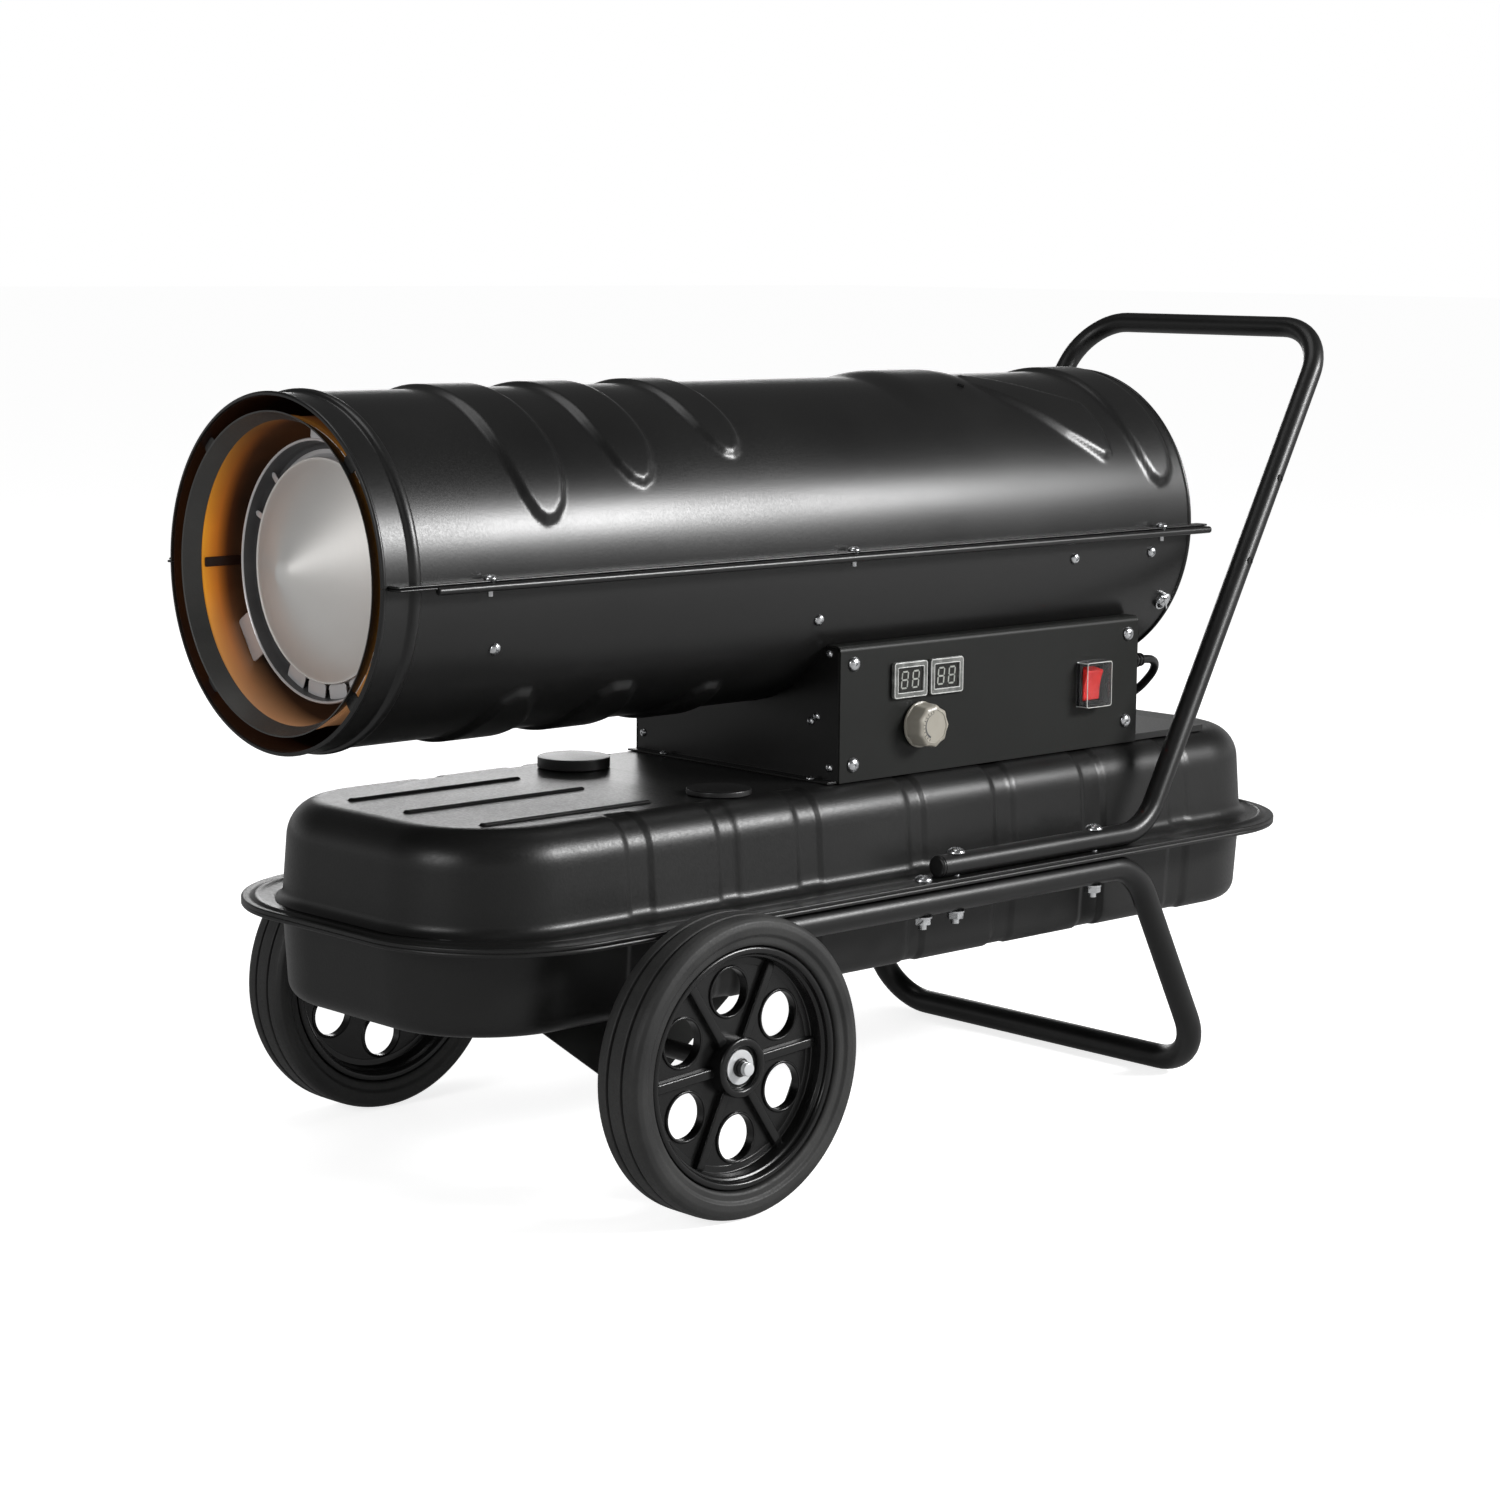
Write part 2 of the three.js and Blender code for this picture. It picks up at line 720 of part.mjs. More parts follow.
// A saddle that stands on the lower shell, with an arch for the hose along the bottom.
function motorBracket() {
  const y = spread((motorFront + motorBack) / 2, bracket.length / 2);
  const block = box([-bracket.halfWidth, bracket.halfWidth], y, [-barrel.radius, -motor.radius / 2]);
  const inShell = rod(flatOf(shellInside) - gap, y, "y", [0, 0, 0], barrel.sides);
  const saddle = rod(motor.radius + gap, [y[0] - 1, y[1] + 1], "y", [0, 0, 0], 20);
  const arch = box(
    [-bracket.archHalfWidth, bracket.archHalfWidth],
    [y[0] - 1, y[1] + 1],
    [-barrel.radius, -shellInside + bracket.archHeight],
  );
  return cut(block.intersect(inShell), saddle, arch);
}

function airPump() {
  const cover = pumpFront + pump.length - pump.coverLength;
  const back = pumpFront + pump.length;
  const profile = [
    [0, pumpFront],
    [pump.radius, pumpFront],
    [pump.radius, cover],
    [pump.coverRadius, cover],
    [pump.coverRadius, back],
    [0, back],
  ];
  const fitting = rod(barb.radius, [-pump.radius - barb.length, 0], "z", [0, pumpBarbY, 0], 10);
  return join(turned(profile, "y", 16), fitting);
}

const fanMiddle = (fanFront + fanBack) / 2;

function fanWheel() {
  const core = rod(fan.hubRadius, [fanFront, fanBack], "y", [0, 0, 0], 20);
  const blade = box(
    [fan.hubRadius - 2, fanRadius],
    [-fan.thickness / 2, fan.thickness / 2],
    [-fan.chord / 2, fan.chord / 2],
  ).rotate([fan.pitch, 0, 0]);
  const blades = evenly(fan.blades).map((angle) => blade.rotate([0, -angle, 0]).translate([0, fanMiddle, 0]));
  const bore = rod(motor.shaftRadius + gap, [fanFront - 1, fanBack + 1], "y", [0, 0, 0], 12);
  const sweptTip = rod(fanRadius, [fanFront - 5, fanBack + 5], "y", [0, 0, 0], 32);
  return cut(join(core, ...blades), bore).intersect(sweptTip);
}

const shaftEnds = [fanFront - fan.shaftOut, motorFront + motor.seat];

// A flat guard of rings and spokes across the back of the barrel.
function fanGuard() {
  const outer = flatOf(shellInside) - gap;
  const disc = circleShape(outer, 36);
  const rings = Math.floor((outer - guard.wire - guard.hubRadius) / guard.pitch);
  const pitch = (outer - guard.wire - guard.hubRadius) / rings;
  for (let k = 0; k < rings; k++) {
    const inner = guard.hubRadius + k * pitch + guard.wire / 2;
    const outside = guard.hubRadius + (k + 1) * pitch - guard.wire / 2;
    for (const start of evenly(guard.sectors, 90)) {
      const slot = (radius, back) => {
        const spoke = THREE.MathUtils.radToDeg(guard.wire / 2 / radius);
        const sweep = 360 / guard.sectors - 2 * spoke;
        return Array.from({ length: guard.steps + 1 }, (_, i) => {
          const share = (back ? guard.steps - i : i) / guard.steps;
          return new THREE.Vector2(...polar(radius, start + spoke + sweep * share));
        });
      };
      disc.holes.push(new THREE.Path([...slot(inner, false), ...slot(outside, true)]));
    }
  }
  return pulled(disc, [guardY, guardY + guard.thickness]);
}

piece("fan_motor", fanMotor(), castMetal, barrelGroup);
piece("motor_bracket", motorBracket(), darkPaint, barrelGroup);
piece("air_pump", airPump(), castMetal, barrelGroup);
piece("fan", fanWheel(), castMetal, barrelGroup);
piece("motor_shaft", rod(motor.shaftRadius, shaftEnds, "y", [0, 0, 0], 12), zinc, barrelGroup);
piece("fan_guard", fanGuard(), blackTube, barrelGroup);

// ---- barrel: hoses ----

const hoseFloor = -shellInside + hose.overShell + gap + hose.radius;
const filterTop = tankTop + basePlate.height + gap + filter.height - axisZ;

function airHose() {
  const route = [
    [0, pumpBarbY, -pump.radius - barb.length - gap],
    [0, pumpBarbY, hoseFloor],
    [0, barbY, hoseFloor],
    [0, barbY, burnerBarbTip - gap],
  ];
  return swept(bentRoute(route, hose.bend), hose.radius, hose.sides);
}

function fuelHose() {
  const shelf = (burnerBarbTip + hoseFloor) / 2;
  const route = [
    [filter.x, filter.y, filterTop + gap],
    [filter.x, filter.y, shelf],
    [burner.barbX, barbY, shelf],
    [burner.barbX, barbY, burnerBarbTip - gap],
  ];
  return swept(bentRoute(route, hose.bend), hose.radius, hose.sides);
}

piece("air_hose", airHose(), cordRubber, barrelGroup);
piece("fuel_hose", fuelHose(), cordRubber, barrelGroup);

// ---- housing ----

const drop = axisZ - tankTop; // barrel's axis above the housing's floor
const cutEnds = [housing.front - 9, housing.back + 9];
const barrelCut = rod(barrel.radius + gap, cutEnds, "y", [0, 0, drop], barrel.sides);

function hole([y0, y1], [z0, z1]) {
  return box([housing.halfWidth - sheet - 1, housing.halfWidth + 1], [y0, y1], [z0, z1]);
}

function sideCover() {
  const x0 = housing.halfWidth - sheet;
  const y = [housing.front, housing.back];
  const wall = box([x0, housing.halfWidth], y, [0, housing.height]);
  const top = [housing.height - sheet, housing.height];
  const meetsBarrel = Math.sqrt(barrel.radius ** 2 - (drop - housing.height) ** 2);
  const fold = box([meetsBarrel + housing.foldClearance, housing.halfWidth], y, top);
  return cut(join(wall, fold), barrelCut);
}

const displayY = [0, 1].map((i) => display.yFirst + i * display.yStep);
const displayBody = {
  half: display.width / 2 - display.bodyInset,
  tall: display.height / 2 - display.bodyInset,
};
const switchCore = {
  half: switchBody.halfWidth - switchBody.bodyInset,
  tall: switchBody.halfHeight - switchBody.bodyInset,
};

function controlPanel() {
  const margin = panelHoles.margin;
  const windows = displayY.map((y) =>
    hole(spread(y, displayBody.half + margin), spread(display.z, displayBody.tall + margin)),
  );
  const shaftHole = rod(
    thermostat.bushRadius + margin,
    [housing.halfWidth - sheet - 1, housing.halfWidth + 1],
    "x",
    [0, knob.y, knob.z],
    12,
  );
  const switchHole = hole(
    spread(rocker.y, switchCore.half + margin),
    spread(rocker.z, switchCore.tall + margin),
  );
  return cut(sideCover(), ...windows, shaftHole, switchHole);
}

function endPlate(y0, foot) {
  const y = [y0, y0 + sheet];
  const x = housing.halfWidth - sheet - gap;
  return cut(box([-x, x], y, [foot, housing.height - sheet - gap]), barrelCut);
}

function frontPlate() {
  const x = housing.halfWidth - sheet - gap;
  const foot = box([-x, x], [housing.front - housing.frontFoot, housing.front + sheet], [0, sheet]);
  return join(endPlate(housing.front, 0), foot);
}

function rearPlate() {
  const y0 = housing.back - sheet;
  const glandHole = rod(gland.radius + gap, [y0 - 1, housing.back + 1], "y", [gland.x, 0, gland.z], 16);
  return cut(endPlate(y0, basePlate.height + gap), glandHole);
}

function basePlateBody() {
  const y = [housing.front + sheet + gap, basePlate.back];
  const tray = cut(
    box([-basePlateX, basePlateX], y, [0, basePlate.height]),
    box(
      [sheet - basePlateX, basePlateX - sheet],
      [y[0] + sheet, y[1] - sheet],
      [-1, basePlate.height - sheet],
    ),
  );
  const pipeEnds = [-1, basePlate.height + 1];
  return cut(tray, rod(filter.pipeRadius + gap, pipeEnds, "z", [filter.x, filter.y, 0], 12));
}

piece("base_plate", basePlateBody(), blackPaint, housingGroup);
piece("control_panel", controlPanel(), blackPaint, housingGroup);
piece("left_cover", sideCover().mirror([1, 0, 0]), blackPaint, housingGroup);
piece("front_plate", frontPlate(), blackPaint, housingGroup);
piece("rear_plate", rearPlate(), blackPaint, housingGroup);

// ---- housing: controls ----

function displayUnit(y) {
  const face = panelX + gap;
  const back = boardFace + gap;
  return join(
    box([face, face + display.bezel], spread(y, display.width / 2), spread(display.z, display.height / 2)),
    box([back, face], spread(y, displayBody.half), spread(display.z, displayBody.tall)),
  );
}

const knobBase = panelX + gap + knob.offPanel;
const shaftTip = panelX + thermostat.shaftReach;

function thermostatBody() {
  const back = boardFace + gap;
  const place = [0, knob.y, knob.z];
  return join(
    box(
      [back, back + thermostat.depth],
      spread(knob.y, thermostat.width / 2),
      spread(knob.z, thermostat.width / 2),
    ),
    rod(thermostat.bushRadius, [back, panelX], "x", place, 12),
    rod(thermostat.shaftRadius, [back, shaftTip], "x", place, 10),
  );
}

function knobBody() {
  const top = knobBase + knob.height;
  const profile = [
    [0, knobBase],
    [knob.radius, knobBase],
    [knob.radius - knob.draft, top - knob.edge],
    [knob.radius - knob.draft - knob.edge, top],
    [0, top],
  ];
  const socket = rod(thermostat.shaftRadius + gap, [knobBase - 1, shaftTip + gap], "x", [0, 0, 0], 10);
  return cut(turned(profile, "x", knob.sides), socket).translate([0, knob.y, knob.z]);
}

const pivotX = panelX - rocker.pivotInset;

function switchHousing() {
  const face = panelX + gap;
  const front = face + switchBody.bezel;
  const cavity = box(
    [front - switchBody.cavity, front + 1],
    spread(rocker.y, rocker.halfWidth + gap),
    spread(rocker.z, rocker.halfHeight + rocker.sweepRoom),
  );
  return cut(
    join(
      box([face, front], spread(rocker.y, switchBody.halfWidth), spread(rocker.z, switchBody.halfHeight)),
      box(
        [front - switchBody.depth, face],
        spread(rocker.y, switchCore.half),
        spread(rocker.z, switchCore.tall),
      ),
    ),
    cavity,
  );
}

// The rocker is stored pressed in at its lower end.
function rockerBody() {
  const half = rocker.halfHeight;
  const section = polygon([
    [-rocker.depth, -half],
    [rocker.crest, -half],
    [rocker.waist, 0],
    [rocker.crest, half],
    [-rocker.depth, half],
  ]);
  const along = [-rocker.halfWidth, rocker.halfWidth];
  return pulled(section, along).rotate([0, rocker.tilt, 0]).translate([pivotX, rocker.y, rocker.z]);
}

function switchCoverBody() {
  const inner = {
    half: switchBody.halfWidth + switchCover.clearance,
    tall: switchBody.halfHeight + switchCover.clearance,
  };
  const face = panelX + gap;
  const shell = (grow, x1) => {
    const y = spread(rocker.y, inner.half + grow);
    const z = spread(rocker.z, inner.tall + grow);
    return box([grow > 0 ? face : face - 1, x1], y, z);
  };
  const front = face + switchCover.reach;
  return cut(shell(switchCover.wall, front), shell(0, front - switchCover.wall));
}

function controlBoard() {
  return box([boardX, boardFace], [board.front, board.back], [board.bottom, board.top]);
}

function ignitionTransformer() {
  const foot = basePlate.height + gap;
  return box(
    spread(transformer.x, transformer.width / 2),
    spread(transformer.y, transformer.length / 2),
    [foot, foot + transformer.height],
  );
}

// The filter stands on the base plate, and its suction pipe goes down into the tank.
function fuelFilter() {
  const foot = basePlate.height + gap;
  const pipeEnd = tankBottom + filter.pipeOffFloor - tankTop;
  const profile = [
    [0, pipeEnd],
    [filter.pipeRadius, pipeEnd],
    [filter.pipeRadius, foot],
    [filter.radius, foot],
    [filter.radius, foot + filter.height - filter.barb],
    [barb.radius, foot + filter.height - filter.barb],
    [barb.radius, foot + filter.height],
    [0, foot + filter.height],
  ];
  return turned(profile, "z", 14).translate([filter.x, filter.y, 0]);
}

piece("room_display", displayUnit(displayY[0]), blackPlastic, housingGroup);
piece("set_display", displayUnit(displayY[1]), blackPlastic, housingGroup);
piece("thermostat", thermostatBody(), castMetal, housingGroup);
piece("thermostat_knob", knobBody(), greyPlastic, housingGroup);
piece("switch_body", switchHousing(), blackPlastic, housingGroup);
piece("switch_rocker", rockerBody(), redPlastic, housingGroup);
piece("switch_cover", switchCoverBody(), clearPlastic, housingGroup);
piece("control_board", controlBoard(), greenBoard, housingGroup);
piece("ignition_transformer", ignitionTransformer(), blackPlastic, housingGroup);
piece("fuel_filter", fuelFilter(), brassMetal, housingGroup);

// ---- tank ----

// Rings of the tank's body from its seam out to a flat end with a round edge, pulled in by inset.
function tankRings(seamZ, endZ, inset) {
  const side = Math.sign(endZ - seamZ);
  const steps = 3;
  const ringAt = (z, tuck) => {
    const shrink = inset + tuck;
    return roundedOutline(
      spread(0, tank.halfWidth - shrink),
      [tank.front + shrink, bodyBack - shrink],
      tank.corner - shrink,
    ).map(([x, y]) => [x, y, z]);
  };
  const round = tank.edge - inset;
  const edgeRings = Array.from({ length: steps + 1 }, (_, i) => {
    const angle = (Math.PI / 2) * (i / steps);
    return ringAt(endZ - side * round * (1 - Math.sin(angle)), round * (1 - Math.cos(angle)));
  });
  return [ringAt(seamZ, 0), ...edgeRings];
}

function flangePlate(z) {
  const outline = roundedOutline(
    spread(0, flangeHalfWidth),
    [flangeFront, flangeBack],
    flangeCorner,
  );
  return lofted(z.map((level) => outline.map(([x, y]) => [x, y, level])));
}

const sides = { right: 1, left: -1 };
const boltHoleRadius = (clampBolt.radius + gap) / Math.cos(Math.PI / clampBolt.holeSides); // to its corners
const boltHoleEnds = [legZ - leg.tube, handleZ + handle.tube];
const boltHole = (x, y) => rod(boltHoleRadius, boltHoleEnds, "z", [x, y, 0], clampBolt.holeSides);
const boltHoles = Object.values(sides).flatMap((side) =>
  Object.values(clampBoltY).map((y) => boltHole(side * railX, y)),
);

function tankHalf(side, endZ) {
  const seam = tankSeam + (side * gap) / 2;
  const flange = [seam, seam + side * tankFlange.thickness].sort((a, b) => a - b);
  const outer = join(lofted(tankRings(seam, endZ, 0)), flangePlate(flange));
  const inner = lofted(tankRings(seam - side, endZ - side * tank.wall, tank.wall));
  return cut(outer, inner, ...boltHoles);
}

function tankUpper() {
  const neckTop = tankTop + filler.height;
  const neckPlace = [filler.x, filler.y, 0];
  const neckEnds = [tankTop - tank.wall / 2, neckTop];
  const neck = rod(filler.bore + filler.wall, neckEnds, "z", neckPlace, 20);
  const bore = rod(filler.bore, [tankTop - 5, neckTop + 1], "z", neckPlace, 20);
  const throughTop = [tankTop - 5, tankTop + 1];
  const stemHole = rod(gauge.stemRadius + gap, throughTop, "z", [gauge.x, gauge.y, 0], 14);
  const pipeHole = rod(filter.pipeRadius + gap, throughTop, "z", [filter.x, filter.y, 0], 12);
  return cut(join(tankHalf(1, tankTop), neck), bore, stemHole, pipeHole);
}

function fuelCap() {
  const foot = tankTop + gap;
  const top = foot + filler.capHeight;
  const inside = filler.bore + filler.wall + gap;
  const profile = [
    [0, tankTop + filler.height + gap],
    [inside, tankTop + filler.height + gap],
    [inside, foot],
    [filler.capRadius, foot],
    [filler.capRadius, top - filler.capEdge],
    [filler.capRadius - filler.capEdge, top],
    [0, top],
  ];
  return turned(profile, "z", 20).translate([filler.x, filler.y, 0]);
}

function fuelGauge() {
  const foot = tankTop + gap;
  const top = foot + gauge.height;
  const profile = [
    [0, foot - gauge.stemLength],
    [gauge.stemRadius, foot - gauge.stemLength],
    [gauge.stemRadius, foot],
    [gauge.radius, foot],
    [gauge.radius, top - gauge.edge],
    [gauge.radius - gauge.edge, top],
    [0, top],
  ];
  return turned(profile, "z", 18).translate([gauge.x, gauge.y, 0]);
}

piece("tank_upper", tankUpper(), blackPaint, heater);
piece("tank_lower", tankHalf(-1, tankBottom), blackPaint, heater);
piece("fuel_cap", fuelCap(), blackPlastic, heater);
piece("fuel_gauge", fuelGauge(), blackPlastic, heater);

// ---- handle and leg ----

const mirrored = (half) => [...half, ...half.map(([x, y, z]) => [-x, y, z]).reverse()];

function handleTube() {
  const route = mirrored([
    [railX, handle.front, handleZ],
    [railX, handle.bendY, handleZ],
    [gripX, handle.gripY, gripZ],
  ]);
  const inside = handle.tube / 2 - handle.wall;
  return cut(swept(bentRoute(route, handle.bend), handle.tube / 2, tubeSides, inside), ...boltHoles);
}

function legTube() {
  const route = mirrored([
    [railX, leg.front, legZ],
    [railX, leg.bendY, legZ],
    [footX, leg.footY, leg.tube / 2],
  ]);
  const inside = leg.tube / 2 - leg.wall;
  return cut(swept(bentRoute(route, leg.bend), leg.tube / 2, tubeSides, inside), ...boltHoles);
}

function handlePlug() {
  const inside = handle.tube / 2 - handle.wall;
  const stem = (inside - gap) * Math.cos(Math.PI / tubeSides);
  const profile = [
    [0, -endPlug.head],
    [handle.tube / 2 - endPlug.edge, -endPlug.head],
    [handle.tube / 2, endPlug.edge - endPlug.head],
    [handle.tube / 2, -gap],
    [stem, -gap],
    [stem, endPlug.stem],
    [0, endPlug.stem],
  ];
  return turned(profile, "y", tubeSides);
}

// One bolt from its head down through what it clamps, with its nut at the bottom.
function clampBoltBody(headZ) {
  const nutTop = legZ - leg.tube / 2 - gap;
  const nutBottom = nutTop - clampBolt.nutHeight;
  const profile = [
    [0, headZ + clampBolt.headHeight],
    [clampBolt.headRadius * 0.6, headZ + clampBolt.headHeight * 0.8],
    [clampBolt.headRadius, headZ + clampBolt.headHeight * 0.3],
    [clampBolt.headRadius, headZ],
    [clampBolt.radius, headZ],
    [clampBolt.radius, nutTop],
    [clampBolt.nutRadius, nutTop],
    [clampBolt.nutRadius, nutBottom],
    [clampBolt.radius, nutBottom],
    [clampBolt.radius, nutBottom - clampBolt.stub],
    [0, nutBottom - clampBolt.stub],
  ];
  return turned(profile, "z", clampBolt.sides);
}

piece("handle", handleTube(), blackTube, heater);
piece("leg_frame", legTube(), blackTube, heater);
for (const [sideName, side] of Object.entries(sides)) {
  const cap = piece(`handle_plug_${sideName}`, handlePlug(), blackPlastic, heater);
  cap.position.set(side * railX, handle.front, handleZ);
  for (const [placeName, y] of Object.entries(clampBoltY)) {
    const headZ = y < handle.front ? flangeTop + gap : handleZ + handle.tube / 2 + gap;
    const bolt = piece(`clamp_bolt_${placeName}_${sideName}`, clampBoltBody(headZ), zinc, heater);
    bolt.position.set(side * railX, y, 0);
  }
}

// ---- axle and wheels ----

function axleBar() {
  const end = axleEnd;
  const shoulder = wheelX + hub.face;
  const collar = wheelInside - gap;
  const half = [
    [axle.threadRadius, end],
    [axle.threadRadius, shoulder],
    [axle.radius, shoulder],
    [axle.radius, collar],
    [axle.collarRadius, collar],
    [axle.collarRadius, collar - axle.collarWidth],
    [axle.radius, collar - axle.collarWidth],
  ];
  const other = half.map(([radius, x]) => [radius, -x]).reverse();
  return turned([[0, end], ...half, ...other, [0, -end]], "x", 12).translate([0, 0, wheel.radius]);
}

// A channel under the tank, with an ear at each end that the axle goes through.
function axleBracketBody() {
  const top = tankBottom - gap;
  const y = spread(0, axleBracket.halfWidth);
  const base = box(spread(0, axleBracketX), y, [top - axleBracket.sheet, top]);
  const { earReach, earFoot } = axleBracket;
  const ear = polygon([
    [-earFoot, wheel.radius - axleBracket.earDepth],
    [earFoot, wheel.radius - axleBracket.earDepth],
    [earReach, top - axleBracket.sheet / 2],
    [-earReach, top - axleBracket.sheet / 2],
  ]);
  const ears = Object.values(sides).map((side) => pulledAcross(ear, spread(side * earX, axleBracket.sheet / 2)));
  const bore = rod(axle.radius + gap, spread(0, axleBracketX + 1), "x", [0, 0, wheel.radius], 12);
  return cut(join(base, ...ears), bore);
}

// The tyre lies on a flat of its many-sided outline, so its corners stand out a little further.
function tyre() {
  const reach = wheel.radius / Math.cos(Math.PI / wheel.sides);
  const half = wheel.width / 2;
  const seat = rimForm.seatRadius + gap;
  const { shoulder, tread, treadDrop, beadInset } = tyreForm;
  const outside = [
    [seat, half - beadInset],
    [seat + shoulder, half],
    [reach - shoulder, half],
    [reach - treadDrop, half - tread],
    [reach, half - shoulder],
  ];
  const profile = [...outside.map(([radius, x]) => [radius, -x]), ...outside.reverse()];
  return turned(profile, "x", wheel.sides).rotate([180 / wheel.sides, 0, 0]);
}

function rim() {
  const half = wheel.width / 2;
  const seat = rimForm.seatRadius * Math.cos(Math.PI / wheel.sides);
  const bandEnds = spread(0, half - rimForm.inset);
  const band = pipe(seat, rimForm.wallRadius, bandEnds, "x", [0, 0, 0], wheel.sides);
  const web = circleShape(rimForm.wallRadius + rimForm.sink, wheel.sides);
  for (const angle of evenly(spokes.count, spokes.turn)) {
    const [cy, cz] = polar(spokes.holeRing, angle);
    const loop = evenly(10).map((turn) => polar(spokes.holeRadius, turn));
    web.holes.push(new THREE.Path(loop.map(([dy, dz]) => new THREE.Vector2(cy + dy, cz + dz))));
  }
  const ribX = [spokes.webBack, hub.face - spokes.ribInset];
  const ribReach = [hub.radius - rimForm.sink, rimForm.wallRadius + rimForm.sink];
  const rib = box(ribX, ribReach, spread(0, spokes.ribWidth / 2));
  const ribs = evenly(spokes.count, spokes.turn + 180 / spokes.count).map((angle) => rib.rotate([angle, 0, 0]));
  const boss = rod(hub.radius, [gap - half, hub.face - gap], "x", [0, 0, 0], 16);
  const bore = rod(axle.radius + gap, [-half - 1, half + 1], "x", [0, 0, 0], 12);
  return cut(join(band, pulledAcross(web, [spokes.webBack, spokes.webFront]), boss, ...ribs), bore);
}

// A washer and a nut in one, against the axle's shoulder.
function wheelNutBody() {
  const face = hub.face + gap;
  const bore = axle.threadRadius + gap;
  const profile = [
    [bore, face],
    [wheelNut.washerRadius, face],
    [wheelNut.washerRadius, face + wheelNut.washer],
    [wheelNut.radius, face + wheelNut.washer],
    [wheelNut.radius, face + wheelNut.height],
    [bore, face + wheelNut.height],
  ];
  return turned(profile, "x", 12);
}

piece("axle", axleBar(), zinc, heater);
piece("axle_bracket", axleBracketBody(), darkPaint, heater);
for (const [sideName, side] of Object.entries(sides)) {
  const wheelGroup = new THREE.Group();
  wheelGroup.position.set(side * wheelX, 0, wheel.radius);
  wheelGroup.rotation.z = side > 0 ? 0 : Math.PI;
  piece(`tyre_${sideName}`, tyre(), tyreRubber, wheelGroup);
  piece(`rim_${sideName}`, rim(), blackPlastic, wheelGroup);
  piece(`wheel_nut_${sideName}`, wheelNutBody(), zinc, wheelGroup);
  heater.add(wheelGroup);
}

// ---- mains lead ----

const cordRadius = cord.diameter / 2;
const glandTip = housing.back + gland.flange + gland.taper;
const coilFloor = basePlate.height + coil.liftOffPlate + cordRadius;
const perLayer = coil.turns / coil.layers;
const radialSpan = perLayer * coil.spacing;
const outerTurn = coil.middleRadius + radialSpan / 2;
const plugZ = basePlate.height + gap + plug.height / 2;

function glandBody() {
  const face = housing.back + gap;
  const profile = [
    [0, housing.back - gland.inside],
    [gland.radius, housing.back - gland.inside],
    [gland.radius, face],
    [gland.flangeRadius, face],
    [gland.flangeRadius, face + gland.flange],
    [gland.rootRadius, face + gland.flange],
    [gland.tipRadius, glandTip],
    [0, glandTip],
  ];
  return turned(profile, "y", 14).translate([gland.x, 0, gland.z]);
}

// The coil spirals in and out again at a steady rate, once for each pair of layers, and climbs a
// layer in the half turn where the spiral reverses.
function coilPoint(turn) {
  const layer = Math.floor(turn / perLayer);
  const share = turn / perLayer - layer;
  const inward = layer % 2 === 0 ? share : 1 - share;
  const radius = outerTurn - inward * radialSpan;
  const climbs = Array.from({ length: coil.layers - 1 }, (_, k) => (k + 1) * perLayer);
  const climbed = climbs.reduce((sum, at) => sum + THREE.MathUtils.smoothstep(turn, at - 0.25, at + 0.25), 0);
  const [dx, dy] = polar(radius, coil.startAngle - 360 * turn);
  return new THREE.Vector3(coil.x + dx, coil.y + dy, coilFloor + climbed * coil.spacing);
}

function coilStations() {
  const steps = Math.round(coil.turns * coil.stepsPerTurn);
  const last = coil.turns * (1 - 1e-9);
  const wound = Array.from({ length: steps + 1 }, (_, i) => coilPoint((last * i) / steps));
  const heading = (angle) => new THREE.Vector3(...polar(1, angle - 90), 0);
  const into = heading(coil.startAngle);
  const out = heading(coil.startAngle - 360 * coil.turns);
  const start = wound[0].clone().addScaledVector(into, -cord.diameter);
  const end = wound[steps].clone().addScaledVector(out, cord.diameter);
  return { points: [start, ...wound, end], into, out };
}

function routeOf({ points, into, out }) {
  const directions = points.map((_, i) =>
    points[Math.min(i + 1, points.length - 1)].clone().sub(points[Math.max(i - 1, 0)]).normalize(),
  );
  directions[0] = into;
  directions[points.length - 1] = out;
  return new Route(points, directions);
}

function leastSelfGap(points) {
  let least = Infinity;
  const skip = coil.stepsPerTurn / 3;
  points.forEach((point, i) => {
    for (let k = i + skip; k < points.length; k++) least = Math.min(least, point.distanceTo(points[k]));
  });
  return least - cord.diameter;
}

const wound = coilStations();
const coilStart = wound.points[0];
const coilEnd = wound.points[wound.points.length - 1];

// The lead leaves the gland, turns down and in behind the housing, and lies down beside the coil.
// z counts from the top of the tank here too.
const leadPoints = [
  [90, 525.3, 59],
  [89.05, 533.8, 58.05],
  [86.3, 541.5, 55.3],
  [82, 547.5, 51],
  [76.6, 551.5, 45.6],
  [70.6, 552.8, 39.6],
  [64, 552.2, 33],
  [56.2, 549.8, 26.4],
  [47.8, 545.6, 20.4],
  [39.4, 540, 15.8],
  [31, 533, 12.4],
  [23, 525.4, 10.3],
];
// From the last turn it runs on over the plate and turns into the back of the plug.
const tailPoints = [
  [-36, 503.8, 30],
  [-46, 504.4, 29.2],
  [-56, 506.6, 27.2],
  [-65.4, 510.8, 24.6],
  [-73.6, 517, 21.8],
  [-80, 524.6, 19.6],
];

function leadTube() {
  const start = [gland.x, glandTip + gap, gland.z];
  const end = coilStart.clone().addScaledVector(wound.into, -gap).toArray();
  const points = [start, ...leadPoints, end];
  return swept(smoothRoute(points, 16, [0, 1, 0], wound.into.toArray()), cordRadius, 8);
}

